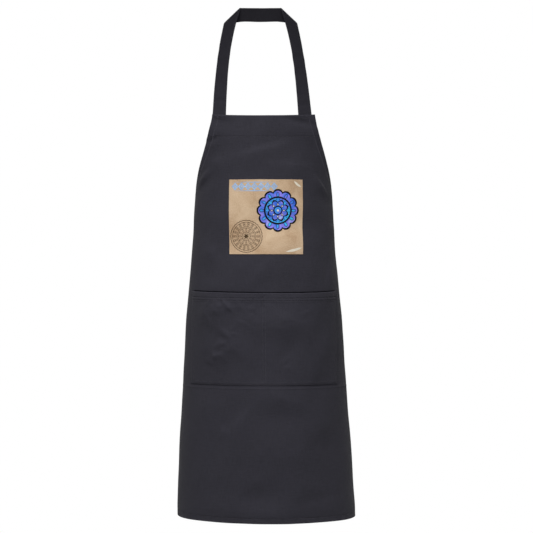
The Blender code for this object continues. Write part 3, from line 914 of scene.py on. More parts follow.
class ApronSizes(bpy.types.PropertyGroup):
    wrinkle_depth: share_property("Wrinkle depth", "How deep the cloth's small folds are", 1.0)
    twill_pitch: size_property(
        "Twill pitch", "From one rib to the next, coarser than the real 0.6 mm to show", 0.0020, 0.0005, 0.004
    )
    stitch_pitch: size_property("Stitch pitch", "From one stitch to the next", 0.0032, 0.0015, 0.006)
    thread_width: size_property("Thread width", "Width of the sewing thread", 0.00055, 0.0002, 0.0015)
    camera_distance: size_property("Camera distance", "From the camera to the apron's front", 3.40, 1.0, 10.0)
    view_height: size_property("View height", "Height of the picture at the apron's front", 1.1726, 0.5, 3.0)
    key_power: power_property("Key light", "Power of the light above and in front", 3.35)
    fill_power: power_property("Fill light", "Power of the wide light in front, right", 6.0)
    back_power: power_property("Back light", "Power of the light behind the apron", 7.0)
    room_light: share_property("Room light", "Strength of the even light from all round", 0.24)


def colour_property(name, description, code):
    """A colour in the sidebar."""
    settings = {"subtype": "COLOR", "size": 3, "min": 0.0, "max": 1.0, "default": linear(code)[:3]}
    return bpy.props.FloatVectorProperty(name=name, description=description, **settings)


class ApronColours(bpy.types.PropertyGroup):
    twill: colour_property("Twill", "Charcoal of the panel and pocket", "#2E2D35")
    # The tape's colours are darker than the twill of the same cloth: painted shade for the neck strap.
    tape: colour_property("Tape", "Charcoal of the strap and ties", "#24232A")
    tape_inside: colour_property("Tape inside", "Wrong side of the strap's tape", "#27262C")
    thread: colour_property("Thread", "Sewing thread", "#37363C")
    ink_tan: colour_property("Tan ink", "Ground of the printed square", "#C4A98B")
    ink_tan_dark: colour_property("Dark tan ink", "Darker patches of the ground", "#AE8F6F")
    ink_tan_light: colour_property("Light tan ink", "Lighter patches of the ground", "#D2BA9C")
    ink_black: colour_property("Black ink", "Outlines of the rosette", "#05050A")
    ink_blue_deep: colour_property("Deep blue ink", "Shade of the rosette", "#2036B0")
    ink_blue: colour_property("Blue ink", "Ring and petals of the rosette", "#3F74E2")
    ink_violet: colour_property("Violet ink", "Tint of the rosette", "#8E7FE6")
    ink_cyan: colour_property("Cyan ink", "Heart of the rosette", "#3CBDF2")
    ink_pale: colour_property("Pale blue ink", "Border strip", "#A9CFF5")
    ink_slate: colour_property("Slate ink", "Shade of the border strip", "#6F9ACB")
    ink_brown: colour_property("Brown ink", "Line drawing", "#43331F")
    ink_cream: colour_property("Cream ink", "Brush strokes at the corners", "#E9E2D0")


def panel_dents(across, height):
    """Grooves under the rows of stitches on the panel's face."""
    edge = half_width(height) - np.abs(across)
    down = BIB_TOP - height
    dents = groove(down - FACING_SEAM, SEAM_SINK) + groove(APRON_LENGTH - down - BOTTOM_SEAM, SEAM_SINK)
    dents += groove(edge - SIDE_SEAM, SIDE_SINK) * smooth((down - FACING_SEAM) / 0.002)
    # The pocket's turned-in edge shows through under its bottom seam.
    dents += 0.0004 * hump(down - POCKET_DROP - POCKET_HEIGHT - POCKET_SECOND_SEAM, 0.0016)
    return dents + behind_mouth(across, down)


def mouth_sag(across, down):
    """How far the slack mouth hangs below its straight line, most right of its middle. The cloth under it
    follows, less and less."""
    share = np.clip((across + POCKET_WIDTH / 2) / POCKET_WIDTH, 0.0, 1.0)
    hang = np.sin(math.pi * share**1.15) ** 0.8 * (0.75 + 0.25 * share)
    return MOUTH_SAG * hang * (1 - smooth((down - POCKET_DROP) / SAG_REACH))


def behind_mouth(across, down):
    """The cloth drops back where the pocket's mouth crosses it, and comes forward again inside."""
    below = down - POCKET_DROP - mouth_sag(across, np.full(np.shape(down), POCKET_DROP))
    drop = smooth((below + 0.0022) / 0.0024) * (1 - smooth((below - 0.010) / 0.050))
    return -MOUTH_DROP * drop * (1 - smooth((np.abs(across) - POCKET_WIDTH / 2 + 0.012) / 0.010))


def own(piece, nodes):
    """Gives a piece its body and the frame's nodes that it replaces."""
    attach(piece, "root")
    if nodes:
        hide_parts(*nodes)


class APRON_OT_panel(bpy.types.Operator):
    """Makes the panel, its facing and its hems"""

    bl_idname = "apron.panel"
    bl_label = "Panel and hems"
    # Columns beside the panel's edge, closest round its roll and its row of stitches.
    from_edge = np.array(
        [0, 0.00012, 0.00045, 0.0010, 0.0022, 0.0060, 0.0100, 0.0118, 0.0126, 0.0130, 0.0134, 0.0142]
    )

    def execute(self, context):
        twill = finishes("charcoal_twill_cotton")
        top, low = BIB_TOP - PANEL_INSET, BOTTOM + PANEL_INSET
        fine = [BIB_TOP - FACING_SEAM, BOTTOM + BOTTOM_SEAM]
        fine += [POCKET_BOTTOM - POCKET_SECOND_SEAM, POCKET_TOP, POCKET_TOP + 0.002]
        heights = spaced(top, low, PANEL_STEP, fine)
        reach = half_width(heights)[None, :]
        inside = np.linspace(1.0, 0.0, PANEL_COLUMNS)[:, None] * (reach - HEM_WIDTH)
        right = np.concatenate([reach - PANEL_INSET - self.from_edge[:, None], inside])
        across = np.concatenate([-right, right[::-1][1:]]).T
        height = np.broadcast_to(heights[:, None], across.shape)
        edge = half_width(height) - PANEL_INSET - np.abs(across)
        end = np.minimum(BIB_TOP - PANEL_INSET - height, height - BOTTOM - PANEL_INSET)
        roll = rolled(edge, PANEL_ROLL) * rolled(end, PANEL_ROLL)
        face = on_cloth(across, height, CLOTH / 2 * (roll - 1) + panel_dents(across, height) * roll)
        back = on_cloth(across, height, -CLOTH / 2 * (roll + 1) + behind_mouth(across, BIB_TOP - height))
        flat = np.stack([across, height], axis=2)
        worn = 0.5 * hump(np.minimum(edge, end), 0.0015)
        panel = shell("apron_cloth", face, back, flat, twill, worn)
        own(panel, ["apron_panel"])

        facing, turn_up = BIB_TOP - FACING_DEPTH, BOTTOM + BOTTOM_HEM
        hems = [self.level_hem("facing_strip", BIB_TOP, facing, 1, "bib_facing", twill)]
        hems.append(self.level_hem("bottom_turn_up", BOTTOM, turn_up, -1, "bottom_hem", twill))
        for side, word in ((-1, "left"), (1, "right")):
            for part, first, last in (("armhole", facing, TIE_HEIGHT), ("side", TIE_HEIGHT, turn_up)):
                name, node = f"{part}_turn_in_{word}", f"{part}_hem_{word}"
                hems.append(self.upright_hem(name, side, first, last, node, twill))

        def face_of(across, height):
            return on_cloth(across, height, panel_dents(across, height) + THREAD_RISE)

        def back_of(across, height):
            return on_cloth(across, height, SEWN_LEVEL - 0.0002)

        rows = [(face_of, path, 1) for path in self.seams()]
        rows += [(back_of, path, -1) for path in self.seams()]
        own(sew("panel_stitches", rows), [])
        return {"FINISHED"}

    def seams(self):
        """The paths of the stitch rows, as distances round the form and heights."""
        paths = []
        low, top = BOTTOM + BOTTOM_SEAM, BIB_TOP - FACING_SEAM
        for height in (low, top):
            reach = half_width(height) - 0.004
            paths.append([(reach * share, height) for share in np.linspace(-1, 1, 60)])
        for side in (-1, 1):
            heights = np.linspace(BIB_TOP - 0.003, low, 160)
            paths.append([(side * (half_width(z) - SIDE_SEAM), z) for z in heights])
        return paths

    def level_hem(self, name, fold, turned, way, node, finish):
        """A hem along a level edge, which folds over at one height and is turned under at the other."""
        depth = abs(turned - fold)
        heights = fold - way * spaced(0.0, depth, 0.0042, [depth - 0.002])
        shares = spaced(-1.0, 1.0, 0.018, (), 0.004)
        height = np.broadcast_to(heights[:, None], (len(heights), len(shares)))
        across = half_width(height) * shares[None, :]
        from_fold, from_turned = np.abs(height - fold), np.abs(height - turned)
        end = half_width(height) - np.abs(across)
        return self.hem(name, across, height, from_fold, from_turned, end, node, finish)

    def upright_hem(self, name, side, top, low, node, finish):
        """A hem along a side of the panel between two heights."""
        depths = spaced(0.0, HEM_WIDTH, 0.0030, [SIDE_SEAM])
        heights = spaced(top - GAP, low + GAP, 0.0050, ())
        height = np.broadcast_to(heights[:, None], (len(heights), len(depths)))
        across = side * (half_width(height) - depths[None, :])
        from_fold = np.broadcast_to(depths[None, :], height.shape)
        end = np.minimum(top - GAP - height, height - low - GAP)
        return self.hem(name, across, height, from_fold, HEM_WIDTH - from_fold, end, node, finish)

    def hem(self, name, across, height, from_fold, from_turned, end, node, finish):
        """A double layer behind the panel whose outer edge comes forward round the panel's own edge."""
        wrap = 1 - smooth((from_fold - 0.0007) / 0.0006)
        front_level = between(HEM_LEVEL + 0.00012, -0.00008, wrap)
        back_level = np.full(height.shape, HEM_LEVEL - CLOTH - 0.0002)
        back_level = back_level + 0.0003 * hump(from_turned - 0.002, 0.0009)
        middle, half = (front_level + back_level) / 2, (front_level - back_level) / 2
        roll = rolled(from_fold, 0.0011) * rolled(from_turned, 0.0006) * rolled(end, 0.0006)
        face = on_cloth(across, height, middle + half * roll)
        back = on_cloth(across, height, middle - half * roll)
        flat = np.stack([across, -height], axis=2)
        worn = 0.6 * hump(from_fold, 0.0012) + 0.4 * hump(from_turned, 0.0010)
        piece = shell(name, face, back, flat, finish, worn)
        own(piece, [node])
        return piece


def pocket_level(across, height):
    """How far the pocket's face stands out: its slack, its creases, its turned edges and its seams."""
    half = POCKET_WIDTH / 2
    up = np.maximum(0.0, (height - POCKET_BOTTOM) / POCKET_HEIGHT)
    arch = np.maximum(0.0, np.sin(math.pi * np.minimum(np.abs(across), half) / half)) ** POCKET_ARCH
    loose = arch * np.sin(math.pi / 2 * np.minimum(up, 1.0)) ** POCKET_RISE
    down = POCKET_TOP - height
    depth = bpy.context.scene.apron_sizes.wrinkle_depth
    small = [ridge for patch in POCKET_SCATTER for ridge in scattered(*patch)]
    creases = ridges(POCKET_CREASES, across, down, POCKET_LEAN) + ridges(small, across, down, SCATTER_LEAN)
    creases *= depth * CREASE_RISE * smooth(loose / 0.4)
    stand = (SLACK_TAKEN * POCKET_SLACK + ridges(POCKET_FOLDS, across, down)) * loose + creases
    edge = np.minimum(half - np.abs(across), height - POCKET_BOTTOM)
    turned = TURNED_RISE * (1 - smooth((edge - TURNED_WIDTH) / 0.0016))
    turned = np.maximum(turned, MOUTH_HEM_RISE * (1 - smooth((down - MOUTH_HEM) / 0.0016)))
    seams = groove(edge - POCKET_EDGE_SEAM, POCKET_EDGE_SINK) + groove(edge - POCKET_SECOND_SEAM, SEAM_SINK)
    for line in MOUTH_SEAMS:
        seams += groove(down - line, MOUTH_SINK)
    for line in (-DIVIDER_SEAM, DIVIDER_SEAM):
        seams += groove(across - line, MOUTH_SINK)
    ripple = uneven(across, 0.0019, 2, 0.012) * hump(down - 0.016, 0.009)
    ripple += uneven(across, 0.0022, 2, 0.015) * hump((height - POCKET_BOTTOM) - 0.006, 0.007)
    ripple += np.sin(down / 0.0021) * hump(across, 0.008)
    pressed = 0.0004 * (1 - smooth((height - POCKET_BOTTOM) / 0.0040))
    return GAP + CLOTH + np.maximum(stand, 0.0) + turned + seams + POCKET_PUCKER * depth * ripple - pressed


def on_pocket(across, height, level):
    """Points of the pocket, whose mouth sags."""
    return on_cloth(across, height - mouth_sag(across, BIB_TOP - height), level)


def pocket_seams():
    """The paths of the pocket's stitch rows."""
    half, paths = POCKET_WIDTH / 2, []
    for inset in (POCKET_EDGE_SEAM, POCKET_SECOND_SEAM):
        x, low, top = half - inset, POCKET_BOTTOM + inset, POCKET_TOP - 0.002
        paths.append([(-x, z) for z in np.linspace(top, low, 60)])
        paths.append([(t * x, low) for t in np.linspace(-1, 1, 100)])
        paths.append([(x, z) for z in np.linspace(low, top, 60)])
    for line in MOUTH_SEAMS:
        paths.append([(t * (half - 0.009), POCKET_TOP - line) for t in np.linspace(-1, 1, 100)])
    for x in (-DIVIDER_SEAM, DIVIDER_SEAM):
        ends = (POCKET_TOP - 0.001, POCKET_BOTTOM + POCKET_EDGE_SEAM)
        paths.append([(x, z) for z in np.linspace(*ends, 60)])
    return paths


class APRON_OT_pocket(bpy.types.Operator):
    """Makes the wide pocket with its two compartments"""

    bl_idname = "apron.pocket"
    bl_label = "Pocket"

    def execute(self, context):
        half = POCKET_WIDTH / 2
        places = (DIVIDER_SEAM, half - POCKET_EDGE_SEAM, half - POCKET_SECOND_SEAM)
        columns = spaced(-half, half, POCKET_STEP, [side * place for side in (-1, 1) for place in places])
        fine = [POCKET_TOP - line for line in MOUTH_SEAMS]
        fine += [POCKET_BOTTOM + POCKET_EDGE_SEAM, POCKET_BOTTOM + POCKET_SECOND_SEAM]
        across, height = np.meshgrid(columns, spaced(POCKET_TOP, POCKET_BOTTOM, POCKET_STEP, fine))
        level = pocket_level(across, height)
        edge = np.minimum(half - np.abs(across), height - POCKET_BOTTOM)
        mouth = POCKET_TOP - height
        roll = rolled(edge, POCKET_ROLL) * rolled(mouth, MOUTH_ROLL)
        hemmed = 0.0010 * (1 - smooth((mouth - 0.0205) / 0.0012)) * smooth(edge / 0.012)
        inner = np.minimum(level - CLOTH - hemmed, GAP * 0.5 + (level - GAP - CLOTH) * 0.93)
        middle, thick = (level + inner) / 2, (level - inner) / 2
        face = on_pocket(across, height, middle + thick * roll)
        back = on_pocket(across, height, middle - thick * roll)
        flat = np.stack([across, height], axis=2)
        # The pocket's edges and mouth are coloured paler: rubbed by use, and painted highlight along the
        # mouth.
        worn = 0.5 * hump(edge, 0.0014) + 0.8 * hump(mouth, 0.0014)
        pocket = shell("pocket_cloth", face, back, flat, finishes("charcoal_twill_cotton"), worn)
        own(pocket, ["pocket"])

        def surface(across, height):
            return on_pocket(across, height, pocket_level(across, height) + THREAD_RISE)

        stitches = sew("pocket_stitches", [(surface, path, 1) for path in pocket_seams()])
        own(stitches, [])
        return {"FINISHED"}


def print_point(x, y, level):
    """A point of the printed square, from its middle in millimetres."""
    return on_cloth(PRINT_SHIFT + np.asarray(x) / 1000, PRINT_MIDDLE + np.asarray(y) / 1000, level)


Patch = namedtuple("Patch", "ink x y inner outer turn stretch level")


def patch_mesh(patch):
    """A ring or disc of ink as a closed thin film. inner and outer are functions of the angle, in mm."""
    sides = 96 if patch.outer(np.zeros(1))[0] > 12 else 32
    angles = np.linspace(0, 2 * math.pi, sides + 1)[:-1]
    inner, outer = (np.broadcast_to(radius(angles), angles.shape) for radius in (patch.inner, patch.outer))
    rings = max(1, int(np.ceil((outer - inner).max() / 3.0)))
    turn = math.radians(patch.turn)
    radii = between(inner[None, :], outer[None, :], np.linspace(0, 1, rings + 1)[:, None])
    x, y = radii * np.cos(angles), radii * np.sin(angles) * patch.stretch
    px = patch.x + x * math.cos(turn) - y * math.sin(turn)
    py = patch.y + x * math.sin(turn) + y * math.cos(turn)
    count = sides * (rings + 1)
    ids = np.arange(count).reshape(rings + 1, sides)
    levels = (patch.level, patch.level - INK_FILM)
    points = np.concatenate([print_point(px, py, level).reshape(-1, 3) for level in levels])
    after = np.roll(ids, -1, axis=1)
    faces = []
    for layer in (0, count):
        for k in range(rings):
            faces.append(np.stack([ids[k], after[k], after[k + 1], ids[k + 1]], axis=1) + layer)
    for k in (0, rings):
        faces.append(np.stack([ids[k], after[k], after[k] + count, ids[k] + count], axis=1))
    flat = np.stack([px, py], axis=2).reshape(-1, 2) / 1000
    return points, np.concatenate(faces), np.concatenate([flat, flat])


def steady(radius):
    """A radius that is the same all round."""
    return lambda angle: np.full(angle.shape, float(radius))


def scalloped(radius, share, count, power=1.0):
    """A radius that swells and falls a number of times round the circle."""
    return lambda angle: radius * (1 + share * (np.abs(np.cos(angle * count / 2)) ** power - 0.5))


def diamond(size):
    """The outline of a square standing on its corner."""
    return lambda angle: size / (np.abs(np.cos(angle)) + np.abs(np.sin(angle)))


def stroke(size):
    """The uneven outline of a brush stroke."""
    return lambda angle: size * (1 + 0.10 * np.sin(3 * angle) + 0.06 * np.sin(7 * angle + 1))


def wreath(middle, radius, count, first=0.0):
    """Evenly spaced places round a middle, with their angles in degrees."""
    for k in range(count):
        turn = 360.0 / count * k + first
        angle = math.radians(turn)
        yield middle[0] + radius * math.cos(angle), middle[1] + radius * math.sin(angle), turn


# The inks by their place in the motifs' list of materials.
INKS = (
    "parchment_print_ink",
    "outline_print_ink",
    "blue_print_ink",
    "cyan_print_ink",
    "brown_print_ink",
    "pale_print_ink",
    "cream_print_ink",
)
OUTLINE, BLUE, CYAN, BROWN, PALE, CREAM = range(1, 7)
INK_FILM = 0.00016
# How far the lowest ink stands off the square, and each level off the one below.
INK_BASE = 0.00008
INK_LAYER = 0.00010
DOT = steady(0.2)


def motifs():
    """A generic rosette, a line-drawn medallion, a strip of lozenges and two brush strokes, in millimetres
    from the square's middle. Each ring or disc lies a little over those of lower levels."""
    patches = []

    def put(ink, x, y, inner, outer, turn=0.0, stretch=1.0, level=0):
        height = GAP + PRINT_FILM + INK_BASE + level * INK_LAYER
        patches.append(Patch(ink, x, y, inner, outer, turn, stretch, height))

    middle = (26.0, 14.0)
    put(OUTLINE, *middle, steady(0.3), scalloped(44.5, 0.13, 12, 0.6), level=0)
    put(BLUE, *middle, steady(31.0), scalloped(40.4, 0.14, 12, 0.6), level=1)
    for x, y, turn in wreath(middle, 35.4, 12):
        put(OUTLINE, x, y, DOT, steady(5.6), turn, 0.62, 2)
        put(CYAN, x, y, DOT, steady(4.5), turn, 0.55, 3)
    put(OUTLINE, *middle, steady(27.2), steady(30.8), level=2)
    put(CYAN, *middle, steady(18.5), steady(27.6), level=1)
    for x, y, _ in wreath(middle, 24.9, 24, 7.5):
        put(OUTLINE, x, y, DOT, steady(1.0), level=2)
    put(BLUE, *middle, DOT, scalloped(18.5, 0.30, 8, 0.8), 22.5, level=2)
    put(OUTLINE, *middle, scalloped(18.3, 0.30, 8, 0.8), scalloped(21.2, 0.30, 8, 0.8), 22.5, level=3)
    put(OUTLINE, *middle, DOT, steady(10.2), level=3)
    put(CYAN, *middle, DOT, steady(7.6), level=4)
    put(CREAM, *middle, DOT, steady(2.4), level=5)
    for x, y, _ in wreath(middle, 13.4, 8):
        put(CREAM, x, y, DOT, steady(1.5), level=4)
        put(OUTLINE, x, y, DOT, steady(2.5), level=3)

    middle = (-44.0, -43.0)
    put(BROWN, *middle, scalloped(34.2, 0.05, 32), scalloped(35.6, 0.05, 32))
    for radius, wide in ((31.6, 1.0), (21.4, 1.0), (18.6, 0.8), (9.6, 1.0), (6.6, 0.7)):
        put(BROWN, *middle, steady(radius - wide), steady(radius))
    for x, y, turn in wreath(middle, 26.4, 18):
        put(BROWN, x, y, steady(3.2), steady(4.2), turn, 0.66)
        put(BROWN, x, y, DOT, steady(1.6), turn, 0.66)
    for x, y, turn in wreath(middle, 14.0, 12):
        put(BROWN, x, y, steady(3.0), steady(4.0), turn, 0.55)
        put(BROWN, x, y, DOT, steady(1.2), turn, 0.55)
    put(BROWN, *middle, DOT, scalloped(4.2, 0.5, 6))

    for k in range(7):
        x = -69.0 + 14.5 * k
        put(PALE, x, 67.0, diamond(4.0), diamond(7.4), 0.0, 1.15)
        put(PALE, x, 67.0, DOT, diamond(2.4), 0.0, 1.15)
    for y in (57.5, 76.5):
        put(PALE, -25.5, y, DOT, diamond(52.0), 0.0, 0.018)

    put(CREAM, 62.0, -73.0, DOT, stroke(17.0), 14.0, 0.16)
    put(CREAM, 70.0, 72.0, DOT, stroke(9.5), -38.0, 0.26)
    return patches


class APRON_OT_print(bpy.types.Operator):
    """Makes the printed square on the bib"""

    bl_idname = "apron.print"
    bl_label = "Printed square"

    def execute(self, context):
        x = spaced(-PRINT_WIDTH / 2, PRINT_WIDTH / 2, PRINT_STEP, (), 0.0002)
        y = spaced(-PRINT_HEIGHT / 2, PRINT_HEIGHT / 2, PRINT_STEP, (), 0.0002)
        across, up = np.meshgrid(x, y)
        edge = np.minimum(PRINT_WIDTH / 2 - np.abs(across), PRINT_HEIGHT / 2 - np.abs(up))
        half = PRINT_FILM / 2 * rolled(edge, 0.0002)
        middle = GAP + PRINT_FILM / 2
        levels = (middle + half, middle - half)
        face, back = (on_cloth(across + PRINT_SHIFT, up + PRINT_MIDDLE, level) for level in levels)
        flat = np.stack([across, up], axis=2)
        inks = finishes(*INKS)
        own(shell("print_square", face, back, flat, inks[:1]), ["chest_print"])

        all_points, all_faces, all_flat, slots, start = [], [], [], [], 0
        for patch in motifs():
            points, faces, flat = patch_mesh(patch)
            all_points.append(points)
            all_faces.append(faces + start)
            all_flat.append(flat)
            slots += [patch.ink] * len(faces)
            start += len(points)
        arrays = [np.concatenate(part) for part in (all_points, all_faces, all_flat)]
        own(link("print_motifs", *arrays[:2], inks, slots, arrays[2], crisp=True), [])
        return {"FINISHED"}


# The strap's slow waves, how many ribs at each end lie on the bib's wrinkles, and how far up these fade.
STRAP_WAVE = 0.00035
FOOT_RIBS = 40
FOOT_FADE = 0.060


def fold_ends(side):
    """The lower outer end and the upper inner end of the strap's oblique fold."""
    low = np.array((STRAP_LEAN + side * FOLD_LOW_HALF, -FOLD_FORWARD, -FOLD_LOW_SINK))
    high = np.array((STRAP_LEAN + side * FOLD_HIGH_HALF, -FOLD_FORWARD, STRAP_WIDTH - FOLD_GAP))
    return low, high


def sewn_rib(leg, height):
    """A rib of the strap on the back of the bib: its outer edge, inner edge and bow."""
    level = SEWN_LEVEL - GAP - STRAP_CLOTH / 2
    far = BIB_WIDTH / 2 - leg.inset
    across = leg.side * (far - STRAP_WIDTH * np.array((0, 0.5, 1)))
    outer, middle, inner = on_form(across, np.full(3, height), level)
    return outer, inner, middle - (outer + inner) / 2


def leg_ribs(leg, steps=84):
    """Ribs of one leg, from its sewn end up to its oblique fold."""
    low, high = fold_ends(leg.side)
    foot_outer, foot_inner, foot_bow = sewn_rib(leg, BIB_TOP)
    foot = (1.0, 0.996, 0.985, 0.97, 0.85, 0.6, 0.4, 0.2, 0.06)
    ribs = [sewn_rib(leg, BIB_TOP - STRAP_FOOT * share) for share in foot]
    for step in range(steps + 1):
        share = step / steps
        outer_height = between(foot_outer[2], low[2], share)
        inner_height = outer_height + (high[2] - low[2]) * smooth((share - 1) / LEG_SKEW + 1)
        on_inner = (inner_height - foot_inner[2]) / (high[2] - foot_inner[2])
        outer = np.array((
            between(foot_outer[0], low[0], between(share**3, share, leg.outer_lean)),
            between(foot_outer[1], low[1], share),
            outer_height,
        ))
        inner = np.array((
            between(foot_inner[0], high[0], between(on_inner**3, on_inner, leg.inner_lean)),
            between(foot_inner[1], high[1], on_inner) - LEG_TWIST * math.sin(math.pi * share),
            inner_height,
        ))
        ribs.append((outer, inner, foot_bow * (1 - smooth(3 * share))))
    return ribs


def crease_ribs(side, steps=12):
    """Ribs round the half turn of the oblique fold."""
    low, high = fold_ends(side)
    radius = (STRAP_CLOTH + FOLD_GAP) / 2
    along = (high - low) / np.linalg.norm(high - low)
    away = np.cross(along, (0, -side, 0))
    away /= np.linalg.norm(away)
    ribs = []
    for step in range(1, steps):
        turn = math.pi * step / steps
        shift = away * (radius * math.sin(turn)) + np.array((0, radius * (1 - math.cos(turn)), 0))
        cut = along * (radius + STRAP_CLOTH / 2) * math.sin(turn)
        ribs.append((low + shift + cut, high + shift - cut, np.zeros(3)))
    return ribs


def band_ribs(side, steps=30):
    """Ribs of half the band behind the neck, from the fold to the middle."""
    low, high = fold_ends(side)
    behind = STRAP_CLOTH + FOLD_GAP
    ribs = []
    for step in range(steps + 1):
        share = step / steps
        upright = smooth(share / BAND_UPRIGHT)
        top_x = between(high[0], STRAP_LEAN, share)
        low_x = top_x + (low[0] - high[0]) * (1 - upright)
        depth = between(behind - FOLD_FORWARD, STRAP_CLOTH / 2, smooth(share))
        top_height = between(high[2], STRAP_WIDTH, smooth(share))
        low_height = between(low[2], 0.0, smooth(share / BAND_LEVEL))
        ribs.append((np.array((low_x, depth, low_height)), np.array((top_x, depth, top_height)), np.zeros(3)))
    return ribs


class APRON_OT_strap(bpy.types.Operator):
    """Makes the neck strap with its two oblique folds"""

    bl_idname = "apron.strap"
    bl_label = "Neck strap"

    def execute(self, context):
        left = leg_ribs(LEFT_LEG) + crease_ribs(-1) + band_ribs(-1)
        right = leg_ribs(RIGHT_LEG) + crease_ribs(1) + band_ribs(1)
        share = tape_columns(STRAP_WIDTH)[:, None] / STRAP_WIDTH
        ribs = [
            outer + (inner - outer) * share + bow * (4 * share * (1 - share))
            for outer, inner, bow in left + right[::-1][1:]
        ]
        self.lay_feet(ribs, share[:, 0])
        steps = np.linalg.norm(np.diff([rib[len(rib) // 2] for rib in ribs], axis=0), axis=1)
        alongs = np.concatenate([[0.0], np.cumsum(steps)])
        total = alongs[-1]

        def lift(along, across):
            """The strap's slow waves and its creases, none at its feet and beside its folds."""
            rise = STRAP_WAVE * uneven(along, 0.0095, 2.0, 0.031) * np.sin(across / 0.011 + along / 0.05)
            domed = np.sin(math.pi * across / STRAP_WIDTH) ** 0.5
            for side, place, wide, height in STRAP_CREASES:
                where = STRAP_FOOT + place if side < 0 else total - STRAP_FOOT - place
                off = along - where - side * 0.12 * (across - STRAP_WIDTH / 2)
                rise = rise + height / 1000 * hump(off, wide) * domed
            from_foot = np.minimum(along, total - along)
            calm = hump(from_foot - FOLD_PLACE, 0.030)
            sewn = smooth((from_foot - STRAP_FOOT) / 0.008)
            return rise * (1 - calm) * sewn * context.scene.apron_sizes.wrinkle_depth

        # Both faces of the tape carry painted shade in their colours.
        finish = finishes("charcoal_tape_wrong_side", "charcoal_tape_cotton")
        tape = make_tape("neck_tape", ribs, STRAP_WIDTH, STRAP_CLOTH, finish, lift, True)
        own(tape.piece, ["neck_strap"])
        rows = edge_rows(tape, 0.0, tape.length, 300) + self.boxes()
        own(sew("strap_stitches", rows), [])
        return {"FINISHED"}

    def lay_feet(self, ribs, share):
        """The sewn feet follow the bib's wrinkles, which fade out of the legs above it."""
        last = range(len(ribs) - FOOT_RIBS, len(ribs))
        for leg, rows in ((LEFT_LEG, range(FOOT_RIBS)), (RIGHT_LEG, last)):
            across = leg.side * (BIB_WIDTH / 2 - leg.inset - STRAP_WIDTH * share)
            for row in rows:
                height = ribs[row][0][2]
                fade = 1 - smooth((height - BIB_TOP) / FOOT_FADE)
                place = (across, np.full(len(across), min(height, BIB_TOP)), SEWN_LEVEL)
                ribs[row] = ribs[row] + (on_cloth(*place) - on_form(*place)) * fade

    def boxes(self):
        """Each foot is sewn on through the facing with a row near the bib's edge and one at its end."""
        rows = []
        for leg in (LEFT_LEG, RIGHT_LEG):
            far = BIB_WIDTH / 2 - leg.inset
            ends = (leg.side * (far - 0.002), leg.side * (far - STRAP_WIDTH + 0.002))
            for drop in (0.003, 0.0085):
                path = [(x, BIB_TOP - drop) for x in np.linspace(*ends, 12)]
                rows.append((lambda across, height: on_cloth(across, height, 0.00008), path, 1))
        return rows


# The folds that the knot gathers into the tapes: their rise and how far they run.
PLEAT_RISE = 0.0011
PLEAT_REACH = 0.045


def knot_middle():
    """The middle of the bow's knot."""
    height = TIE_HEIGHT - HEM_WIDTH - TIE_WIDTH / 2 - TIE_SAG
    girth = float(half_girth(np.array([height]))[0])
    return on_form(np.array([girth]), np.array([height]), SEWN_LEVEL)[0] + np.array((0, KNOT_SINK, 0))


def gathered(distance):
    """A tape's width at a distance from the knot, which gathers it."""
    return TIE_WIDTH * between(KNOT_PINCH, 1.0, smooth(distance / (2 * TIE_WIDTH)))


def pleats(distance, across):
    """The small folds of a gathered tape, which run out of the knot and fade."""
    fade = 1 - smooth(distance / PLEAT_REACH)
    return PLEAT_RISE * fade * np.sin(across / TIE_WIDTH * 5 * math.pi + 0.6)


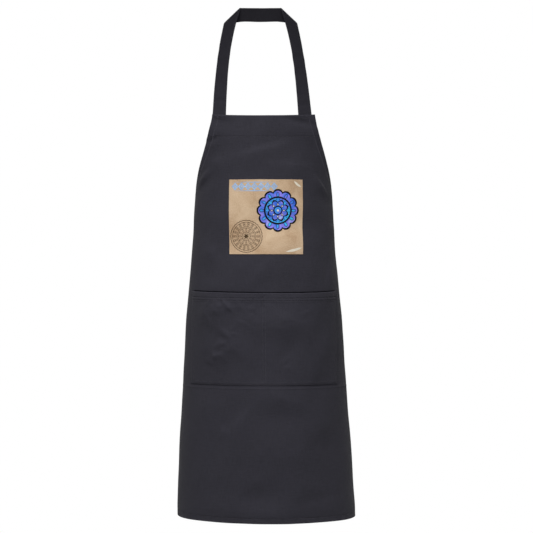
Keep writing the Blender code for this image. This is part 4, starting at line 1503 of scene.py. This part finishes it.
class APRON_OT_ties(bpy.types.Operator):
    """Makes the waist ties, their bow and its free ends"""

    bl_idname = "apron.ties"
    bl_label = "Ties and bow"

    def execute(self, context):
        # The ties share the strap's tape colour, with its painted shade.
        tape = finishes("charcoal_tape_cotton")
        columns = tape_columns(TIE_WIDTH)
        rows = []
        for side, word in ((-1, "left"), (1, "right")):
            rows += self.tie(side, word, columns, tape)
            rows += self.loop(side, word, columns, tape)
            rows += self.tail(side, word, columns, tape)
        self.knot(tape)
        own(sew("tie_stitches", rows), [])
        return {"FINISHED"}

    def strip(self, name, node, ribs, finish):
        """A piece of the ties' tape for one of the frame's nodes."""
        tape = make_tape(name, ribs, TIE_WIDTH, TIE_CLOTH, finish)
        own(tape.piece, [node])
        return tape

    def tie(self, side, word, columns, finish):
        """A tie from the panel's side hem, where its end is hidden in the hem, round to the knot."""
        level = TIE_HEIGHT - HEM_WIDTH - TIE_WIDTH / 2
        start = SKIRT_WIDTH / 2 - TIE_OVERLAP
        reach = float(half_girth(np.array([level]))[0]) - start
        sunk = SEWN_LEVEL - TIE_CLOTH / 2 - 0.0002
        ribs = []
        for share in np.linspace(0, 1, 120):
            left = (1 - share) * reach
            height = level - TIE_SAG * share * share + side * gathered(left) * (columns / TIE_WIDTH - 0.5)
            finish_at = half_girth(height) - KNOT_WIDTH / 2 - 3 * GAP
            wave = 0.0012 * math.sin(share * 9 + side) * smooth(share * 6) * smooth((1 - share) * 5)
            out = SEWN_LEVEL + TIE_CLOTH / 2 + wave + pleats(left, columns)
            hidden = 1 - smooth((share * reach - TIE_OVERLAP) / 0.004)
            ribs.append(on_form(side * between(start, finish_at, share), height, between(out, sunk, hidden)))
        tape = self.strip(f"waist_tape_{word}", f"waist_tie_{word}", ribs, finish)
        return edge_rows(tape, 0.0, tape.length - 0.004)

    def loop(self, side, word, columns, finish):
        """A drooping loop of the bow, out from the knot in front and back behind."""
        middle = knot_middle()
        droop = math.radians(LOOP_DROOP)
        ribs = []
        for share in np.linspace(0, 1, 90):
            out = LOOP_LENGTH * (1 - math.cos(2 * math.pi * share)) / 2
            opening = between(KNOT_DEPTH / 4, LOOP_OPENING, smooth(2 * out / LOOP_LENGTH))
            off = -math.cos(math.pi * share) * opening / 2 + KNOT_SINK
            lift = gathered(out) * (columns / TIE_WIDTH - 0.5)
            turn = droop * min(1.0, out / TIE_WIDTH)
            spread = 0.0085 * math.cos(math.pi * share) * float(smooth(out / 0.075))
            x = KNOT_WIDTH / 2 + GAP + out * math.cos(turn) + lift * math.sin(turn)
            z = lift * math.cos(turn) - out * math.sin(turn) + spread
            wave = 0.0010 * np.sin(columns / 0.006 + out / 0.02) * smooth(out / 0.04)
            depth = off + pleats(out, columns) * (1 if share < 0.5 else -1) + wave
            ribs.append(middle + np.stack(np.broadcast_arrays(side * x, depth, z), axis=1))
        tape = self.strip(f"bow_tape_{word}", f"bow_loop_{word}", ribs, finish)
        return edge_rows(tape, 0.006, tape.length - 0.006)

    def tail(self, side, word, columns, finish):
        """A free end, hanging from the knot, with two rows of stitches across its hem."""
        top = knot_middle() - np.array((0, 0, KNOT_HEIGHT / 2 + GAP))
        layer = side * (TIE_CLOTH + GAP)
        place = columns / TIE_WIDTH - 0.5
        ribs = []
        for share in np.linspace(0, 1, 110):
            fall = TAIL_LENGTH * share
            x = side * (TIE_WIDTH / 6 + TAIL_SPREAD * smooth(share)) + gathered(fall) * place
            depth = layer + TAIL_SWAY * share * (side + math.sin(2 * math.pi * share))
            curl = 0.0022 * smooth(share * 2) * place**2 * 4 * math.sin(7 * share + side)
            folds = pleats(fall, columns) + curl
            ribs.append(top + np.stack(np.broadcast_arrays(x, depth + folds, -fall), axis=1))
        tape = self.strip(f"tail_tape_{word}", f"tie_end_{word}", ribs, finish)
        rows = edge_rows(tape, 0.006, tape.length - 0.002)
        for face, facing in ((tape.front, 1), (tape.back, -1)):
            for drop in (0.002, 0.009):
                path = [(tape.length - drop, x) for x in np.linspace(0.002, TIE_WIDTH - 0.002, 12)]
                rows.append((face, path, facing))
        return rows

    def knot(self, finish):
        """A wrap of the gathered tape round the layers under it, from front over the top to the back."""
        x, turn = np.meshgrid(np.linspace(-1, 1, 41), np.linspace(0, 2 * math.pi, 73)[:-1])
        puff = np.sqrt(np.maximum(0.0, 1 - np.abs(x) ** 3.2))
        fold = 1 - 0.07 * (0.5 + 0.5 * np.cos(x * 3.2 * math.pi + 0.5 * np.sin(2 * turn))) * puff
        deep, tall = (np.sign(wave) * np.abs(wave) ** 0.72 for wave in (np.cos(turn), np.sin(turn)))
        deep = KNOT_DEPTH / 2 * deep * (0.25 + 0.75 * puff) * fold
        tall = KNOT_HEIGHT / 2 * tall * (0.55 + 0.45 * puff) * fold
        wide = KNOT_WIDTH / 2 * x * (1 - 0.05 * np.sin(turn))
        points = knot_middle() + np.stack([wide, deep, tall], axis=2)
        rows, columns = x.shape
        ids = np.arange(rows * columns).reshape(rows, columns)
        after = np.roll(ids, -1, axis=0)
        faces = np.stack([ids[:, :-1], ids[:, 1:], after[:, 1:], after[:, :-1]], axis=2).reshape(-1, 4)
        faces = [tuple(face) for face in faces]
        centres = []
        for column in (0, columns - 1):
            centre = rows * columns + len(centres)
            centres.append(points[:, column].mean(axis=0))
            faces += [(ids[k, column], after[k, column], centre) for k in range(rows)]
        flat = np.stack([x * KNOT_WIDTH / 2, turn * 0.014], axis=2).reshape(-1, 2)
        flat = np.concatenate([flat, np.zeros((2, 2))])
        all_points = np.concatenate([points.reshape(-1, 3), np.array(centres)])
        knot = link("bow_knot", all_points, faces, finish, None, flat, np.zeros(len(all_points)))
        own(knot, ["tie_knot"])


def area_light(name, place, target, size, power, colour, spread=180.0):
    """A round soft light. A narrow spread, in degrees, beams it as a grid in front of it does."""
    data = bpy.data.lights.new(name, "AREA")
    data.spread = math.radians(spread)
    data.shape = "DISK"
    data.size = size
    data.energy = power
    data.color = colour
    lamp = bpy.data.objects.new(name, data)
    lamp.location = place
    lamp.rotation_euler = (Vector(target) - Vector(place)).to_track_quat("-Z", "Y").to_euler()
    bpy.context.scene.collection.objects.link(lamp)


# The floor's height, the line of the apron's front, and the camera's place and film width in millimetres.
FLOOR_HEIGHT = -1.46
FRONT = -0.15
CAMERA_ACROSS = 0.0066
CAMERA_HEIGHT = -0.5616
FILM_WIDTH = 36.0


class APRON_OT_stage(bpy.types.Operator):
    """Makes the floor, the soft studio light and the camera"""

    bl_idname = "apron.stage"
    bl_label = "Stage"

    def execute(self, context):
        scene, sizes = context.scene, context.scene.apron_sizes
        self.floor(context)
        low, high = CAD_BOX
        centre = (0.0, FRONT, (low[2] + high[2]) / 2)
        warm, cool, white = (1.0, 0.99, 0.98), (0.96, 0.98, 1.0), (1.0, 1.0, 1.0)
        # Each light's place and aim, its width, power and colour, and its beam in degrees.
        area_light("key", (-0.26, -1.45, 1.40), (0.0, -0.1, -0.87), 0.8, sizes.key_power, warm, 36.0)
        area_light("fill", (0.9, -3.0, -0.2), centre, 1.8, sizes.fill_power, cool)
        area_light("back", (0.35, 3.0, 0.7), (0.0, 0.0, -0.55), 1.2, sizes.back_power, white, 44.0)
        self.world(scene, sizes.room_light)
        scene.view_settings.view_transform = "Standard"
        scene.view_settings.look = "None"
        scene.view_settings.exposure = 0.0
        scene.view_settings.gamma = 1.0

        data = bpy.data.cameras.new("photo_camera")
        data.sensor_width = FILM_WIDTH
        data.lens = FILM_WIDTH * sizes.camera_distance / sizes.view_height
        data.clip_end = 50.0
        camera = bpy.data.objects.new("photo_camera", data)
        camera.location = (CAMERA_ACROSS, FRONT - sizes.camera_distance, CAMERA_HEIGHT)
        camera.rotation_euler = (math.pi / 2, 0.0, 0.0)
        scene.collection.objects.link(camera)
        scene.camera = camera
        return {"FINISHED"}

    def floor(self, context):
        """A round floor of matt white paint, rolled on. The eye sees a slight mottle and soft shadows."""
        bpy.ops.mesh.primitive_circle_add(vertices=96, radius=1.3, fill_type="NGON", location=(0, 0, 0))
        floor = context.object
        floor.name = "studio_floor"
        for vertex in floor.data.vertices:
            vertex.co.z = FLOOR_HEIGHT
        made, shader = new_material("matt_white_paint", 0.9)
        spot = add_node(made, "ShaderNodeTexCoord").outputs["Object"]
        tone = ramp(made, noise(made, spot, 3.0, 3.0), ((0.3, linear("#FAFAFA")), (0.7, linear("#FEFEFE"))))
        made.node_tree.links.new(tone, shader.inputs["Base Color"])
        floor.data.materials.append(made)

    def world(self, scene, strength):
        """Pure white to the camera, and a weaker even light to everything else."""
        world = scene.world = bpy.data.worlds.new("studio_white")
        world.use_nodes = True
        nodes = world.node_tree.nodes
        seen, output = nodes["Background"], nodes["World Output"]
        white = (1, 1, 1, 1)
        seen.inputs["Color"].default_value = white
        seen.inputs["Strength"].default_value = 1.0
        felt = add_node(world, "ShaderNodeBackground", {}, {"Strength": strength, "Color": white})
        rays = add_node(world, "ShaderNodeLightPath").outputs["Is Camera Ray"]
        inputs = {"Fac": rays, 1: felt.outputs["Background"], 2: seen.outputs["Background"]}
        choice = add_node(world, "ShaderNodeMixShader", {}, {}, inputs)
        world.node_tree.links.new(choice.outputs["Shader"], output.inputs["Surface"])


class APRON_PT_sidebar(bpy.types.Panel):
    """The apron's sizes, colours and steps"""

    bl_idname = "APRON_PT_sidebar"
    bl_label = "Bib apron"
    bl_space_type = "VIEW_3D"
    bl_region_type = "UI"
    bl_category = "Apron"

    def draw(self, context):
        for group in (context.scene.apron_sizes, context.scene.apron_colours):
            box = self.layout.box()
            for name in group.__annotations__:
                box.prop(group, name)
        for step in STEPS:
            self.layout.operator(step.bl_idname)


STEPS = (APRON_OT_stage, APRON_OT_panel, APRON_OT_pocket, APRON_OT_print, APRON_OT_strap, APRON_OT_ties)
CLASSES = (ApronSizes, ApronColours, *STEPS, APRON_PT_sidebar)


def register():
    for item in CLASSES:
        bpy.utils.register_class(item)
    bpy.types.Scene.apron_sizes = bpy.props.PointerProperty(type=ApronSizes)
    bpy.types.Scene.apron_colours = bpy.props.PointerProperty(type=ApronColours)


def unregister():
    del bpy.types.Scene.apron_colours
    del bpy.types.Scene.apron_sizes
    for item in reversed(CLASSES):
        bpy.utils.unregister_class(item)


def corners(box):
    """A box's corners as plain lists."""
    return [[float(value) for value in corner] for corner in box]


def main():
    register()
    bpy.ops.apron.stage()
    bpy.ops.apron.panel()
    bpy.ops.apron.pocket()
    bpy.ops.apron.print()
    bpy.ops.apron.strap()
    bpy.ops.apron.ties()


if __name__ == "__main__":
    main()
